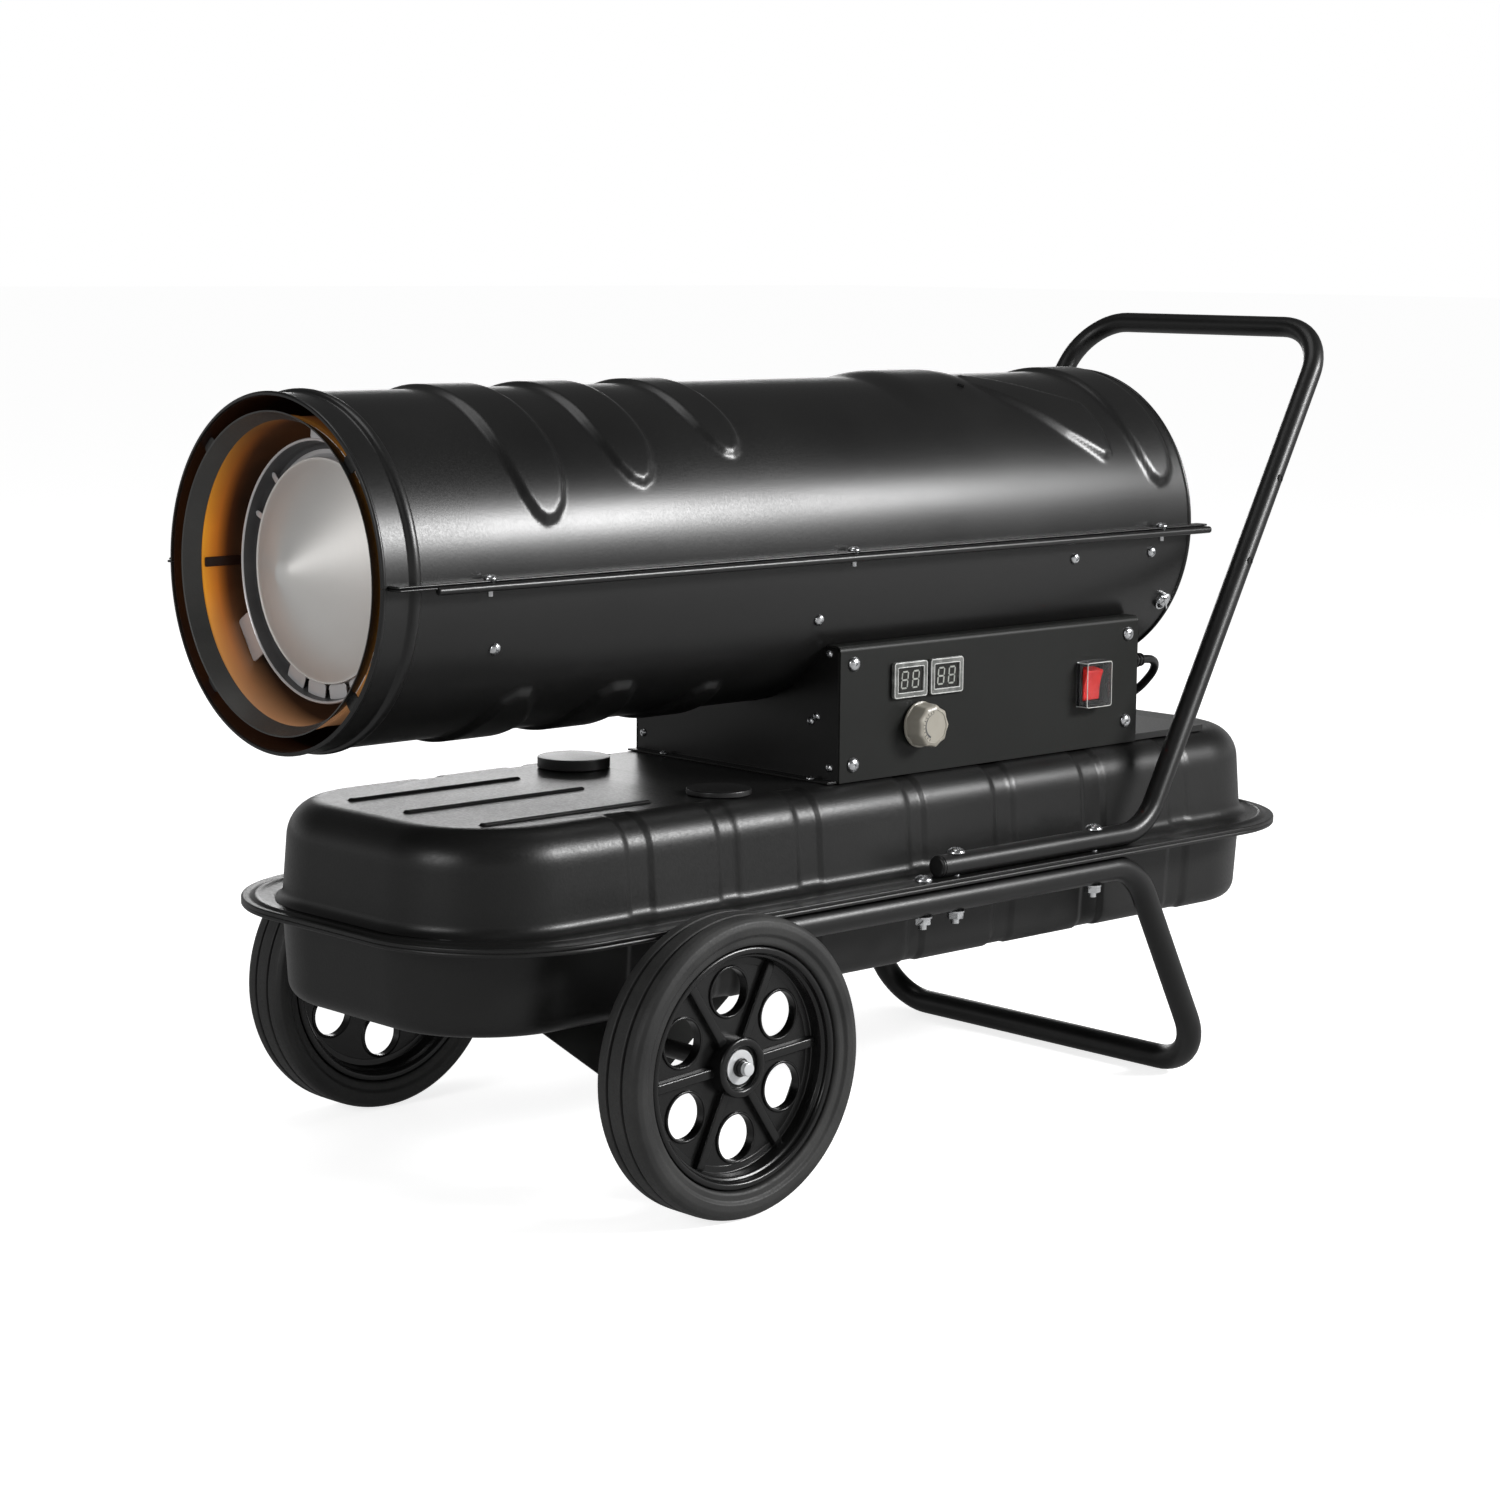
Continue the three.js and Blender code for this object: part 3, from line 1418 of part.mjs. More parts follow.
function tailTube() {
  const start = coilEnd.clone().addScaledVector(wound.out, gap).toArray();
  const end = [plug.x, plug.y - gap, plugZ];
  const points = [start, ...tailPoints, end];
  return swept(smoothRoute(points, 10, wound.out.toArray(), [0, 1, 0]), cordRadius, 8);
}

function plugBody() {
  const ringAt = (y, width, height) => {
    const corner = Math.min(width, height) * 0.3;
    return roundedOutline(spread(0, width / 2), spread(0, height / 2), corner, 2).map(([x, z]) => [x, y, z]);
  };
  const face = plug.tailLength + plug.body;
  const moulding = lofted([
    ringAt(0, plug.tail, plug.tail),
    ringAt(plug.tailLength * 0.55, plug.tail * 1.3, plug.tail * 1.3),
    ringAt(plug.tailLength, plug.width * 0.78, plug.height * 0.83),
    ringAt(plug.tailLength + plug.edge, plug.width, plug.height),
    ringAt(face, plug.width, plug.height),
  ]);
  const pins = Object.values(sides).map((side) =>
    rod(plug.pinRadius, [face - 1, face + plug.pin], "y", [side * plug.pinSpread, 0, 0], 8),
  );
  return join(moulding, ...pins);
}

console.log("coil's least gap to itself", leastSelfGap(wound.points).toFixed(2), "mm");

piece("cord_gland", glandBody(), cordRubber, housingGroup);
piece("cord_lead", leadTube(), cordRubber, housingGroup);
piece("cord_coil", swept(routeOf(wound), cordRadius, coil.sides), cordRubber, housingGroup);
piece("cord_tail", tailTube(), cordRubber, housingGroup);
piece("plug", plugBody(), cordRubber, housingGroup).position.set(plug.x, plug.y, plugZ);

// ---- the whole heater, on the middle of its footprint ----

const frontMost = Math.min(barrel.front, flangeFront);
const rearMost = Math.max(handle.gripY + handle.tube / 2, flangeBack);
const group = new THREE.Group();
heater.position.y = -(frontMost + rearMost) / 2;
group.add(heater);

export default group;
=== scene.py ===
import math

import bmesh
import bpy
import numpy as np
from mathutils import Matrix, Vector, geometry


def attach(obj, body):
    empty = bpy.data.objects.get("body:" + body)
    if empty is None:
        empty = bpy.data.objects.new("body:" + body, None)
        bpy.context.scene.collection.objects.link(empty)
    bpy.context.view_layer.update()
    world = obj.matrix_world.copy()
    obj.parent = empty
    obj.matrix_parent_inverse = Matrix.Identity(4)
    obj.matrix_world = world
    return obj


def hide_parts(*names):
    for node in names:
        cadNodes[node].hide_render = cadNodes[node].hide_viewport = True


# A forced air heater. Shapes are in millimetres: x across, y back from the wheel axle, z up from the floor.

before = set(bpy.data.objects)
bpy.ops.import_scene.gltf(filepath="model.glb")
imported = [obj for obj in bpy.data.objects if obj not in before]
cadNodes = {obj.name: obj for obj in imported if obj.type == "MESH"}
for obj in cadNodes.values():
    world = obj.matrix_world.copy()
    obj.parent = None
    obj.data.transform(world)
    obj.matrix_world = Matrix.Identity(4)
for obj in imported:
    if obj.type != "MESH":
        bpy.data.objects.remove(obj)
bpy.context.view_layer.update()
print("frame:", len(cadNodes), "nodes")

axleToOrigin = 242.5  # from the wheel axle back to the frame's origin
barrelAxis = 417  # its height above the floor
toFrame = Matrix.Translation((0, -axleToOrigin / 1000, 0)) @ Matrix.Scale(0.001, 4)
world = bpy.context.scene.world or bpy.data.worlds.new("studio")
bpy.context.scene.world = world
bpy.context.scene.view_settings.view_transform = "Standard"

photoCamera = {"focal": 3316.4, "frame": 1500, "sensor": 36, "azimuth": 46.7, "elevation": 8.6, "roll": 0.5,
               "place": (1722.5, -1428.0, 622.9)}


def inScene(name, data):
    made = bpy.data.objects.new(name, data)
    bpy.context.scene.collection.objects.link(made)
    return made


def placeCamera():
    azimuth, elevation, roll = (math.radians(photoCamera[k]) for k in ("azimuth", "elevation", "roll"))
    back = Vector((math.sin(azimuth) * math.cos(elevation), -math.cos(azimuth) * math.cos(elevation),
                   math.sin(elevation)))
    level = Vector((math.cos(azimuth), math.sin(azimuth), 0))
    upright = back.cross(level)
    right = math.cos(roll) * level + math.sin(roll) * upright
    up = math.cos(roll) * upright - math.sin(roll) * level
    data = bpy.data.cameras.new("camera")
    data.sensor_width = photoCamera["sensor"]
    data.lens = photoCamera["focal"] / photoCamera["frame"] * photoCamera["sensor"]
    data.clip_start, data.clip_end = 0.05, 100
    camera = inScene("camera", data)
    camera.matrix_world = Matrix.Translation(toFrame @ Vector(photoCamera["place"])) @ Matrix(
        (right, up, back)).transposed().to_4x4()
    bpy.context.scene.camera = camera


placeCamera()
print("camera placed")


def link(tree, source, target):
    tree.links.new(source, target)


# Inputs go by name, with _ for a space, or by number as i0, i1.
def node(tree, kind, settings=None, **inputs):
    made = tree.nodes.new(kind)
    for key, value in (settings or {}).items():
        setattr(made, key, value)
    for key, value in inputs.items():
        key = int(key[1:]) if key[0] == "i" and key[1:].isdigit() else key.replace("_", " ")
        if isinstance(value, bpy.types.NodeSocket):
            link(tree, value, made.inputs[key])
        else:
            made.inputs[key].default_value = value
    return made


def mathOf(tree, operation, a, b):
    return node(tree, "ShaderNodeMath", {"operation": operation}, i0=a, i1=b).outputs[0]


def objectPoint(tree):
    return node(tree, "ShaderNodeTexCoord").outputs["Object"]


def spotted(tree, point, scale, detail=3.0):
    return node(tree, "ShaderNodeTexNoise", Vector=point, Scale=scale, Detail=detail).outputs["Fac"]


def ranged(tree, value, low, high, start=0.3, end=0.7):
    made = node(tree, "ShaderNodeMapRange", Value=value)
    for key, number in (("From Min", start), ("From Max", end), ("To Min", low), ("To Max", high)):
        made.inputs[key].default_value = number
    return made.outputs["Result"]


def blended(tree, share, first, second):
    made = tree.nodes.new("ShaderNodeMix")
    made.data_type = "RGBA"
    link(tree, share, made.inputs[0])
    for socket, value in ((made.inputs[6], first), (made.inputs[7], second)):
        if isinstance(value, bpy.types.NodeSocket):
            link(tree, value, socket)
        else:
            socket.default_value = (*value, 1)
    return made.outputs[2]


def bumped(tree, height, strength, distance, after=None):
    made = node(tree, "ShaderNodeBump", Height=height, Strength=strength, Distance=distance)
    if after is not None:
        link(tree, after, made.inputs["Normal"])
    return made.outputs["Normal"]


def newFinish(name):
    material = bpy.data.materials.new(name)
    material.use_nodes = True
    return material, material.node_tree, material.node_tree.nodes["Principled BSDF"]


def setSockets(shader, sockets):
    for socket, value in sockets.items():
        shader.inputs[socket].default_value = value


def finishOf(name, look):
    material, tree, shader = newFinish(name)
    point = objectPoint(tree)
    broad = spotted(tree, point, look["broad"], 4.0)
    fine = spotted(tree, point, look.get("fine", 420.0), 2.0)
    link(tree, blended(tree, ranged(tree, broad, 0, 1), look["color"], look["worn"]),
         shader.inputs["Base Color"])
    mixed = mathOf(tree, "MULTIPLY", broad, fine)
    link(tree, ranged(tree, mixed, *look["roughness"], 0.15, 0.4), shader.inputs["Roughness"])
    normal = bumped(tree, fine, look.get("peel", 0.1), 0.0004)
    if "dents" in look:
        normal = bumped(tree, broad, look["dents"], 0.002, normal)
    link(tree, normal, shader.inputs["Normal"])
    setSockets(shader, look.get("sockets", {}))
    return material


looks = {
    "blackPaint": {"color": (0.006, 0.006, 0.006), "worn": (0.009, 0.009, 0.0088), "roughness": (0.3, 0.37),
                   "broad": 7.0, "fine": 650.0, "peel": 0.06, "sockets": {"Specular IOR Level": 0.47}},
    "panelPaint": {"color": (0.0085, 0.009, 0.0083), "worn": (0.012, 0.0125, 0.0115),
                   "roughness": (0.4, 0.47), "broad": 6.0, "fine": 800.0, "peel": 0.1,
                   "sockets": {"Specular IOR Level": 0.2}},
    "tankPaint": {"color": (0.006, 0.006, 0.006), "worn": (0.01, 0.01, 0.0097), "roughness": (0.32, 0.42),
                  "broad": 5.0, "fine": 520.0, "peel": 0.12, "dents": 0.04,
                  "sockets": {"Specular IOR Level": 0.38}},
    "lipCoat": {"color": (0.03, 0.031, 0.031), "worn": (0.05, 0.05, 0.048), "roughness": (0.34, 0.46),
                "broad": 14.0, "fine": 500.0, "peel": 0.2, "sockets": {"Specular IOR Level": 0.5}},
    "tubePaint": {"color": (0.006, 0.006, 0.006), "worn": (0.009, 0.009, 0.009), "roughness": (0.32, 0.4),
                  "broad": 12.0, "fine": 500.0, "peel": 0.02, "sockets": {"Specular IOR Level": 0.4}},
    "zinc": {"color": (0.78, 0.79, 0.8), "worn": (0.6, 0.61, 0.63), "roughness": (0.2, 0.34), "broad": 60.0,
             "fine": 1500.0, "peel": 0.08, "sockets": {"Metallic": 1.0}},
    "castMetal": {"color": (0.42, 0.43, 0.44), "worn": (0.3, 0.31, 0.32), "roughness": (0.42, 0.6),
                  "broad": 30.0, "fine": 900.0, "peel": 0.35, "sockets": {"Metallic": 0.9}},
    "brass": {"color": (0.62, 0.45, 0.2), "worn": (0.5, 0.35, 0.14), "roughness": (0.25, 0.4), "broad": 40.0,
              "sockets": {"Metallic": 1.0}},
    "ceramic": {"color": (0.82, 0.8, 0.75), "worn": (0.7, 0.68, 0.62), "roughness": (0.2, 0.3),
                "broad": 50.0},
    "blackPlastic": {"color": (0.010, 0.010, 0.010), "worn": (0.015, 0.015, 0.015), "roughness": (0.32, 0.42),
                     "broad": 25.0, "fine": 1400.0, "peel": 0.12, "sockets": {"Specular IOR Level": 0.4}},
    "rimPlastic": {"color": (0.005, 0.005, 0.005), "worn": (0.007, 0.007, 0.007), "roughness": (0.25, 0.27),
                   "broad": 20.0, "fine": 90.0, "peel": 0.0, "sockets": {"Specular IOR Level": 0.45}},
    "knobPlastic": {"color": (0.33, 0.31, 0.265), "worn": (0.29, 0.272, 0.23), "roughness": (0.3, 0.4),
                    "broad": 60.0, "fine": 1400.0, "peel": 0.1},
    "knobMarks": {"color": (0.05, 0.05, 0.055), "worn": (0.09, 0.09, 0.09), "roughness": (0.5, 0.6),
                  "broad": 200.0},
    # The red rocker's emission is a faint painted glow.
    "rockerRed": {"color": (0.8, 0.03, 0.025), "worn": (0.66, 0.02, 0.02), "roughness": (0.15, 0.25),
                  "broad": 90.0, "peel": 0.03,
                  "sockets": {"Emission Color": (0.9, 0.03, 0.02, 1), "Emission Strength": 0.12}},
    # A dark brown for heat scale on the sleeve's seam, and a painted reflection of the orange sleeve inside
    # the shell's mouth.
    "scaleAndReflectionBrown": {"color": (0.035, 0.009, 0.003), "worn": (0.02, 0.006, 0.003), "roughness": (0.4, 0.5),
                   "broad": 30.0, "fine": 700.0},
    # A dark grey laid in the chamber dish's groove, painted shadow of the ring's lip.
    "grooveShadeGrey": {"color": (0.05, 0.051, 0.053), "worn": (0.075, 0.076, 0.078), "roughness": (0.4, 0.5),
                  "broad": 40.0, "fine": 700.0},
    "washerZinc": {"color": (0.8, 0.81, 0.82), "worn": (0.7, 0.71, 0.72), "roughness": (0.3, 0.4),
                   "broad": 90.0, "fine": 900.0, "peel": 0.03, "sockets": {"Metallic": 0.45}},
    "displayGlass": {"color": (0.016, 0.016, 0.015), "worn": (0.022, 0.022, 0.02), "roughness": (0.2, 0.3),
                     "broad": 60.0, "peel": 0.02, "sockets": {"Specular IOR Level": 0.3}},
    "displayFrame": {"color": (0.085, 0.088, 0.083), "worn": (0.2, 0.204, 0.195), "roughness": (0.2, 0.32),
                     "broad": 150.0, "fine": 900.0, "peel": 0.3},
    # A pale grey on the edges of clear plastic, a painted highlight.
    "paintedEdgeHighlight": {"color": (0.42, 0.425, 0.41), "worn": (0.6, 0.605, 0.59), "roughness": (0.15, 0.25),
                  "broad": 150.0},
    "displayDigits": {"color": (0.26, 0.27, 0.25), "worn": (0.36, 0.37, 0.34), "roughness": (0.3, 0.4),
                      "broad": 150.0},
    "tyreRubber": {"color": (0.016, 0.016, 0.016), "worn": (0.034, 0.034, 0.033), "roughness": (0.5, 0.68),
                   "broad": 22.0, "fine": 600.0, "peel": 0.3, "sockets": {"Specular IOR Level": 0.4}},
    "cordRubber": {"color": (0.009, 0.009, 0.009), "worn": (0.013, 0.013, 0.013), "roughness": (0.38, 0.5),
                   "broad": 40.0, "fine": 1200.0, "peel": 0.12},
    "boardGreen": {"color": (0.02, 0.11, 0.05), "worn": (0.015, 0.07, 0.035), "roughness": (0.3, 0.4),
                   "broad": 120.0, "fine": 500.0},
}
finishes = {name: finishOf(name, look) for name, look in looks.items()}


# Metal turned on a lathe: fine rings about the barrel's axis, with a soft mottle over them.
def turnedSteel(name, color, worn, roughness, ringScale, metallic):
    material, tree, shader = newFinish(name)
    flat = node(tree, "ShaderNodeMapping", Vector=objectPoint(tree), Location=(0, 0, -barrelAxis / 1000),
                Scale=(1, 0, 1))
    radius = node(tree, "ShaderNodeVectorMath", {"operation": "LENGTH"}, i0=flat.outputs["Vector"])
    rings = node(tree, "ShaderNodeTexNoise", {"noise_dimensions": "1D"}, W=radius.outputs["Value"],
                 Scale=ringScale, Detail=4.0).outputs["Fac"]
    broad = spotted(tree, objectPoint(tree), 11.0)
    link(tree, blended(tree, ranged(tree, broad, 0, 1), color, worn), shader.inputs["Base Color"])
    link(tree, ranged(tree, rings, *roughness), shader.inputs["Roughness"])
    link(tree, bumped(tree, rings, 0.05, 0.0003), shader.inputs["Normal"])
    setSockets(shader, {"Metallic": metallic})
    return material


# The sleeve's steel is orange with heat tint at its mouth; painted shade darkens it inwards and along its
# top, and it has a painted glow. Depths and heights are the frame's.
heat = {
    "mouth": -0.449, "dark": -0.417, "metallic": 0.2, "glow": 0.3,
    "stops": [(0.0, (1.0, 0.4, 0.02)), (0.34, (0.9, 0.26, 0.02)), (0.62, (0.12, 0.03, 0.006)),
              (0.85, (0.006, 0.004, 0.003))],
    "brownHeights": (0.33, 0.4), "brown": (0.5, 0.25, 0.12),
    "paintedTopShadeHeights": (0.44, 0.505), "paintedTopShade": (0.03, 0.015, 0.01),
    "deep": (0.01, 0.007, 0.006), "patch": (0.2, 0.07, 0.02),
}


def tintedAndShadedSteel():
    material, tree, shader = newFinish("heatTintAndPaintedShade")
    point = objectPoint(tree)
    depth = node(tree, "ShaderNodeSeparateXYZ", Vector=point).outputs["Y"]
    # Orange heat tint at the mouth, going over into painted shade deeper in.
    share = ranged(tree, depth, 0, 1, heat["mouth"], heat["dark"])
    ramp = node(tree, "ShaderNodeValToRGB", Fac=share)
    first, *between, last = heat["stops"]
    ramp.color_ramp.elements[0].color = (*first[1], 1)
    ramp.color_ramp.elements[1].position = last[0]
    ramp.color_ramp.elements[1].color = (*last[1], 1)
    for position, color in between:
        ramp.color_ramp.elements.new(position).color = (*color, 1)
    broad = spotted(tree, point, 13.0, 4.0)
    height = node(tree, "ShaderNodeSeparateXYZ", Vector=point).outputs["Z"]
    tintAndShade = blended(tree, ranged(tree, height, 1, 0, *heat["brownHeights"]), ramp.outputs["Color"],
                   heat["brown"])
    # Painted shade: darker along the sleeve's top.
    tintAndShade = blended(tree, ranged(tree, height, 0, 0.85, *heat["paintedTopShadeHeights"]), tintAndShade, heat["paintedTopShade"])
    # Painted shade: darker deeper inside the sleeve.
    tintAndShade = blended(tree, share, tintAndShade, heat["deep"])
    tintAndShade = blended(tree, ranged(tree, broad, 0.0, 0.3), tintAndShade, heat["patch"])
    link(tree, tintAndShade, shader.inputs["Base Color"])
    link(tree, ranged(tree, broad, 0.3, 0.45), shader.inputs["Roughness"])
    link(tree, bumped(tree, spotted(tree, point, 500.0, 2.0), 0.08, 0.0003), shader.inputs["Normal"])
    # Painted glow: the colour, its painted shade included, is also emitted.
    link(tree, tintAndShade, shader.inputs["Emission Color"])
    setSockets(shader, {"Metallic": heat["metallic"], "Emission Strength": heat["glow"]})
    return material


def clearPlastic():
    material, tree, shader = newFinish("clearPlastic")
    haze = spotted(tree, objectPoint(tree), 160.0)
    link(tree, ranged(tree, haze, 0.03, 0.12), shader.inputs["Roughness"])
    setSockets(shader, {"Base Color": (0.96, 0.97, 0.98, 1), "Transmission Weight": 1.0, "IOR": 1.3})
    return material


finishes["coneSteel"] = turnedSteel("coneSteel", (0.74, 0.73, 0.71), (0.68, 0.67, 0.65), (0.42, 0.5), 900.0,
                                    0.5)
finishes["ringSteel"] = turnedSteel("ringSteel", (0.66, 0.66, 0.67), (0.5, 0.5, 0.51), (0.3, 0.4), 500.0,
                                    0.45)
finishes["heatTintAndPaintedShade"] = tintedAndShadedSteel()
finishes["clearPlastic"] = clearPlastic()
print("finishes:", len(finishes))

# Shaping, with bmesh in millimetres.


def join(mesh, first, second, closed=True):
    count = max(len(first), len(second))
    for i in range(count if closed else count - 1):
        k = (i + 1) % count
        corners = [first[i % len(first)], first[k % len(first)], second[k % len(second)],
                   second[i % len(second)]]
        kept = [v for n, v in enumerate(corners) if v is not corners[n - 1]]
        if len(kept) > 2:
            mesh.faces.new(kept)


def ring(mesh, points):
    return [mesh.verts.new(point) for point in points]


def loft(mesh, loops):
    rings = [ring(mesh, loop) for loop in loops]
    for first, second in zip(rings, rings[1:]):
        join(mesh, first, second)
    return rings


# Fills a flat outline and leaves its holes open. Loops are lists of vertices.
def fill(mesh, loops):
    flat = [v for loop in loops for v in loop]
    for corners in geometry.tessellate_polygon([[v.co for v in loop] for loop in loops]):
        if len(set(corners)) == 3:
            try:
                mesh.faces.new([flat[i] for i in corners])
            except ValueError:
                pass


def turn(mesh, profile, axis="y", centre=(0, 0, 0), sides=96):
    u, v, w = {"x": (1, 2, 0), "y": (0, 2, 1), "z": (0, 1, 2)}[axis]
    loops = []
    for radius, along in profile:
        loop = []
        for k in range(sides if radius > 1e-6 else 1):
            point = list(centre)
            point[u] += radius * math.cos(2 * math.pi * k / sides)
            point[v] += radius * math.sin(2 * math.pi * k / sides)
            point[w] += along
            loop.append(point)
        loops.append(loop)
    return loft(mesh, loops)


# A closed profile that goes round into a ring. A side of -1 turns its mirror image.
def turnClosed(mesh, profile, axis, centre, sides, side=1):
    turn(mesh, [(radius, side * along) for radius, along in [*profile, profile[0]]], axis, centre, sides)


def capped(mesh, loops):
    rings = loft(mesh, loops)
    fill(mesh, [rings[0]])
    fill(mesh, [rings[-1]])


# The directions out from an axis and along its circle, at an angle in radians.
def spokeOf(angle, axis):
    u, v = {"x": (1, 2), "y": (0, 2), "z": (0, 1)}[axis]
    out, across = Vector((0, 0, 0)), Vector((0, 0, 0))
    out[u], out[v] = math.cos(angle), math.sin(angle)
    across[u], across[v] = -math.sin(angle), math.cos(angle)
    return out, across


# Rounds the corners of a chain of points by up to the given reach.
def rounded(points, reach, steps=3, closed=False):
    made = []
    count = len(points)
    for i, point in enumerate(points):
        if not closed and i in (0, count - 1):
            made.append(point)
            continue
        here = Vector(point)
        before, after = Vector(points[i - 1]) - here, Vector(points[(i + 1) % count]) - here
        cut = min(reach, before.length * 0.45, after.length * 0.45)
        start, end = here + before.normalized() * cut, here + after.normalized() * cut
        for k in range(steps + 1):
            t = k / steps
            made.append(tuple((1 - t) ** 2 * start + 2 * t * (1 - t) * here + t * t * end))
    return made


def circleLoop(radius, sides=32, centre=(0, 0)):
    def loop(inset):
        return [(centre[0] + (radius - inset) * math.cos(2 * math.pi * k / sides),
                 centre[1] + (radius - inset) * math.sin(2 * math.pi * k / sides)) for k in range(sides)]
    return loop


def rectLoop(halfU, halfV, corner, steps=6, centre=(0, 0)):
    def loop(inset):
        made = []
        radius = max(corner - inset, 0.01)
        for quarter, (su, sv) in enumerate(((1, 1), (-1, 1), (-1, -1), (1, -1))):
            cu = centre[0] + su * (halfU - inset - radius)
            cv = centre[1] + sv * (halfV - inset - radius)
            for k in range(steps + 1):
                angle = math.pi / 2 * (quarter + k / steps)
                made.append((cu + radius * math.cos(angle), cv + radius * math.sin(angle)))
        return made
    return loop


# A plate with holes and rounded edges. Loops give points for an inset; place puts (u, v, w) in the heater.
def prism(mesh, outline, holes, low, high, edge, place):
    levels = [(low, edge), (low + 0.3 * edge, 0.3 * edge), (low + edge, 0), (high - edge, 0),
              (high - 0.3 * edge, 0.3 * edge), (high, edge)]
    shells = []
    for shape, sign in [(outline, 1)] + [(hole, -1) for hole in holes]:
        shells.append(loft(mesh, [[place(u, v, w) for u, v in shape(sign * inset)] for w, inset in levels]))
    fill(mesh, [rings[0] for rings in shells])
    fill(mesh, [rings[-1] for rings in shells])


def bentPath(corners, bend, steps=8):
    points = [Vector(corner) for corner in corners]
    made = [points[0]]
    for before, here, after in zip(points, points[1:], points[2:]):
        into, out = (here - before).normalized(), (after - here).normalized()
        angle = into.angle(out)
        centre = here + (out - into).normalized() * bend / math.cos(angle / 2)
        start = here - into * bend * math.tan(angle / 2) - centre
        spin = into.cross(out)
        count = max(2, math.ceil(angle / (math.pi / 2) * steps))
        made += [centre + Matrix.Rotation(angle * k / count, 3, spin) @ start for k in range(count + 1)]
    return made + [points[-1]]


def smoothPath(points, perSpan):
    spots = [Vector(p) for p in points]
    spots = [2 * spots[0] - spots[1], *spots, 2 * spots[-1] - spots[-2]]
    made = []
    for a, b, c, d in zip(spots, spots[1:], spots[2:], spots[3:]):
        for k in range(perSpan):
            t = k / perSpan
            made.append(0.5 * (2 * b + (c - a) * t + (2 * a - 5 * b + 4 * c - d) * t * t
                               + (3 * b - a - 3 * c + d) * t ** 3))
    return made + [spots[-2]]


def crossLoops(path, radius, sides):
    directions = [(path[min(i + 1, len(path) - 1)] - path[max(i - 1, 0)]).normalized()
                  for i in range(len(path))]
    across = directions[0].orthogonal().normalized()
    loops = []
    for here, along in zip(path, directions):
        across = (across - along * across.dot(along)).normalized()
        third = along.cross(across)
        loops.append([here + radius * (math.cos(2 * math.pi * k / sides) * across
                                       + math.sin(2 * math.pi * k / sides) * third) for k in range(sides)])
    return loops


# Both ends are open, and show their inside this deep.
tubeSides, tubeDepth = 28, 14


def openTube(mesh, path, radius, wall):
    loops = crossLoops(path, radius, tubeSides)
    inner = crossLoops(path, radius - wall, tubeSides)
    start, end = ([Vector(p) + (onward - here).normalized() * tubeDepth for p in loop]
                  for loop, here, onward in ((inner[0], path[0], path[1]), (inner[-1], path[-1], path[-2])))
    capped(mesh, [start, inner[0], *loops, inner[-1], end])


def smoothShaded(data, crease):
    data.polygons.foreach_set("use_smooth", [True] * len(data.polygons))
    data.set_sharp_from_angle(angle=math.radians(crease))
    return data


def asData(mesh, name, crease):
    bmesh.ops.remove_doubles(mesh, verts=mesh.verts, dist=0.001)
    bmesh.ops.dissolve_degenerate(mesh, edges=mesh.edges, dist=0.0005)
    bmesh.ops.recalc_face_normals(mesh, faces=mesh.faces)
    mesh.transform(toFrame)
    data = bpy.data.meshes.new(name)
    mesh.to_mesh(data)
    mesh.free()
    return smoothShaded(data, crease)


def addPiece(name, mesh, finish, body="heater", stands=(), crease=32.0, wall=0.0, bevel=0.0):
    data = mesh if isinstance(mesh, bpy.types.Mesh) else asData(mesh, name, crease)
    data.materials.clear()
    data.materials.append(finishes[finish])
    piece = inScene(name, data)
    if wall:
        made = piece.modifiers.new("wall", "SOLIDIFY")
        made.thickness, made.offset, made.use_even_offset = wall / 1000, -1, True
    if bevel:
        made = piece.modifiers.new("edge", "BEVEL")
        made.width, made.segments, made.limit_method = bevel / 1000, 2, "ANGLE"
        made.angle_limit, made.harden_normals = math.radians(35), False
    made = piece.modifiers.new("normals", "WEIGHTED_NORMAL")
    made.keep_sharp = True
    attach(piece, body)
    if stands:
        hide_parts(*stands)
    return piece


# A copy of a folded or moulded CAD piece, its edges broken. A bend is an edge that lies at a given x and z.
def softenedCopy(nodeName, name, finish, edge, bends=()):
    mesh = bmesh.new()
    mesh.from_mesh(cadNodes[nodeName].data)
    mesh.transform(toFrame.inverted())
    bmesh.ops.remove_doubles(mesh, verts=mesh.verts, dist=0.002)
    bmesh.ops.dissolve_limit(mesh, angle_limit=math.radians(1), verts=mesh.verts, edges=mesh.edges)
    for x, z, radius in bends:
        found = [e for e in mesh.edges if all(abs(abs(v.co.x) - x) < 0.05 and abs(v.co.z - z) < 0.05
                                              for v in e.verts)]
        bmesh.ops.bevel(mesh, geom=found, offset=radius, segments=5, affect="EDGES", profile=0.5)
    sharp = [e for e in mesh.edges if len(e.link_faces) == 2 and e.calc_face_angle(0) > math.radians(50)]
    bmesh.ops.bevel(mesh, geom=sharp, offset=edge, segments=2, affect="EDGES", profile=0.6,
                    clamp_overlap=True)
    return addPiece(name, mesh, finish, stands=(nodeName,))


# The mains lead comes first, so that its room is known.

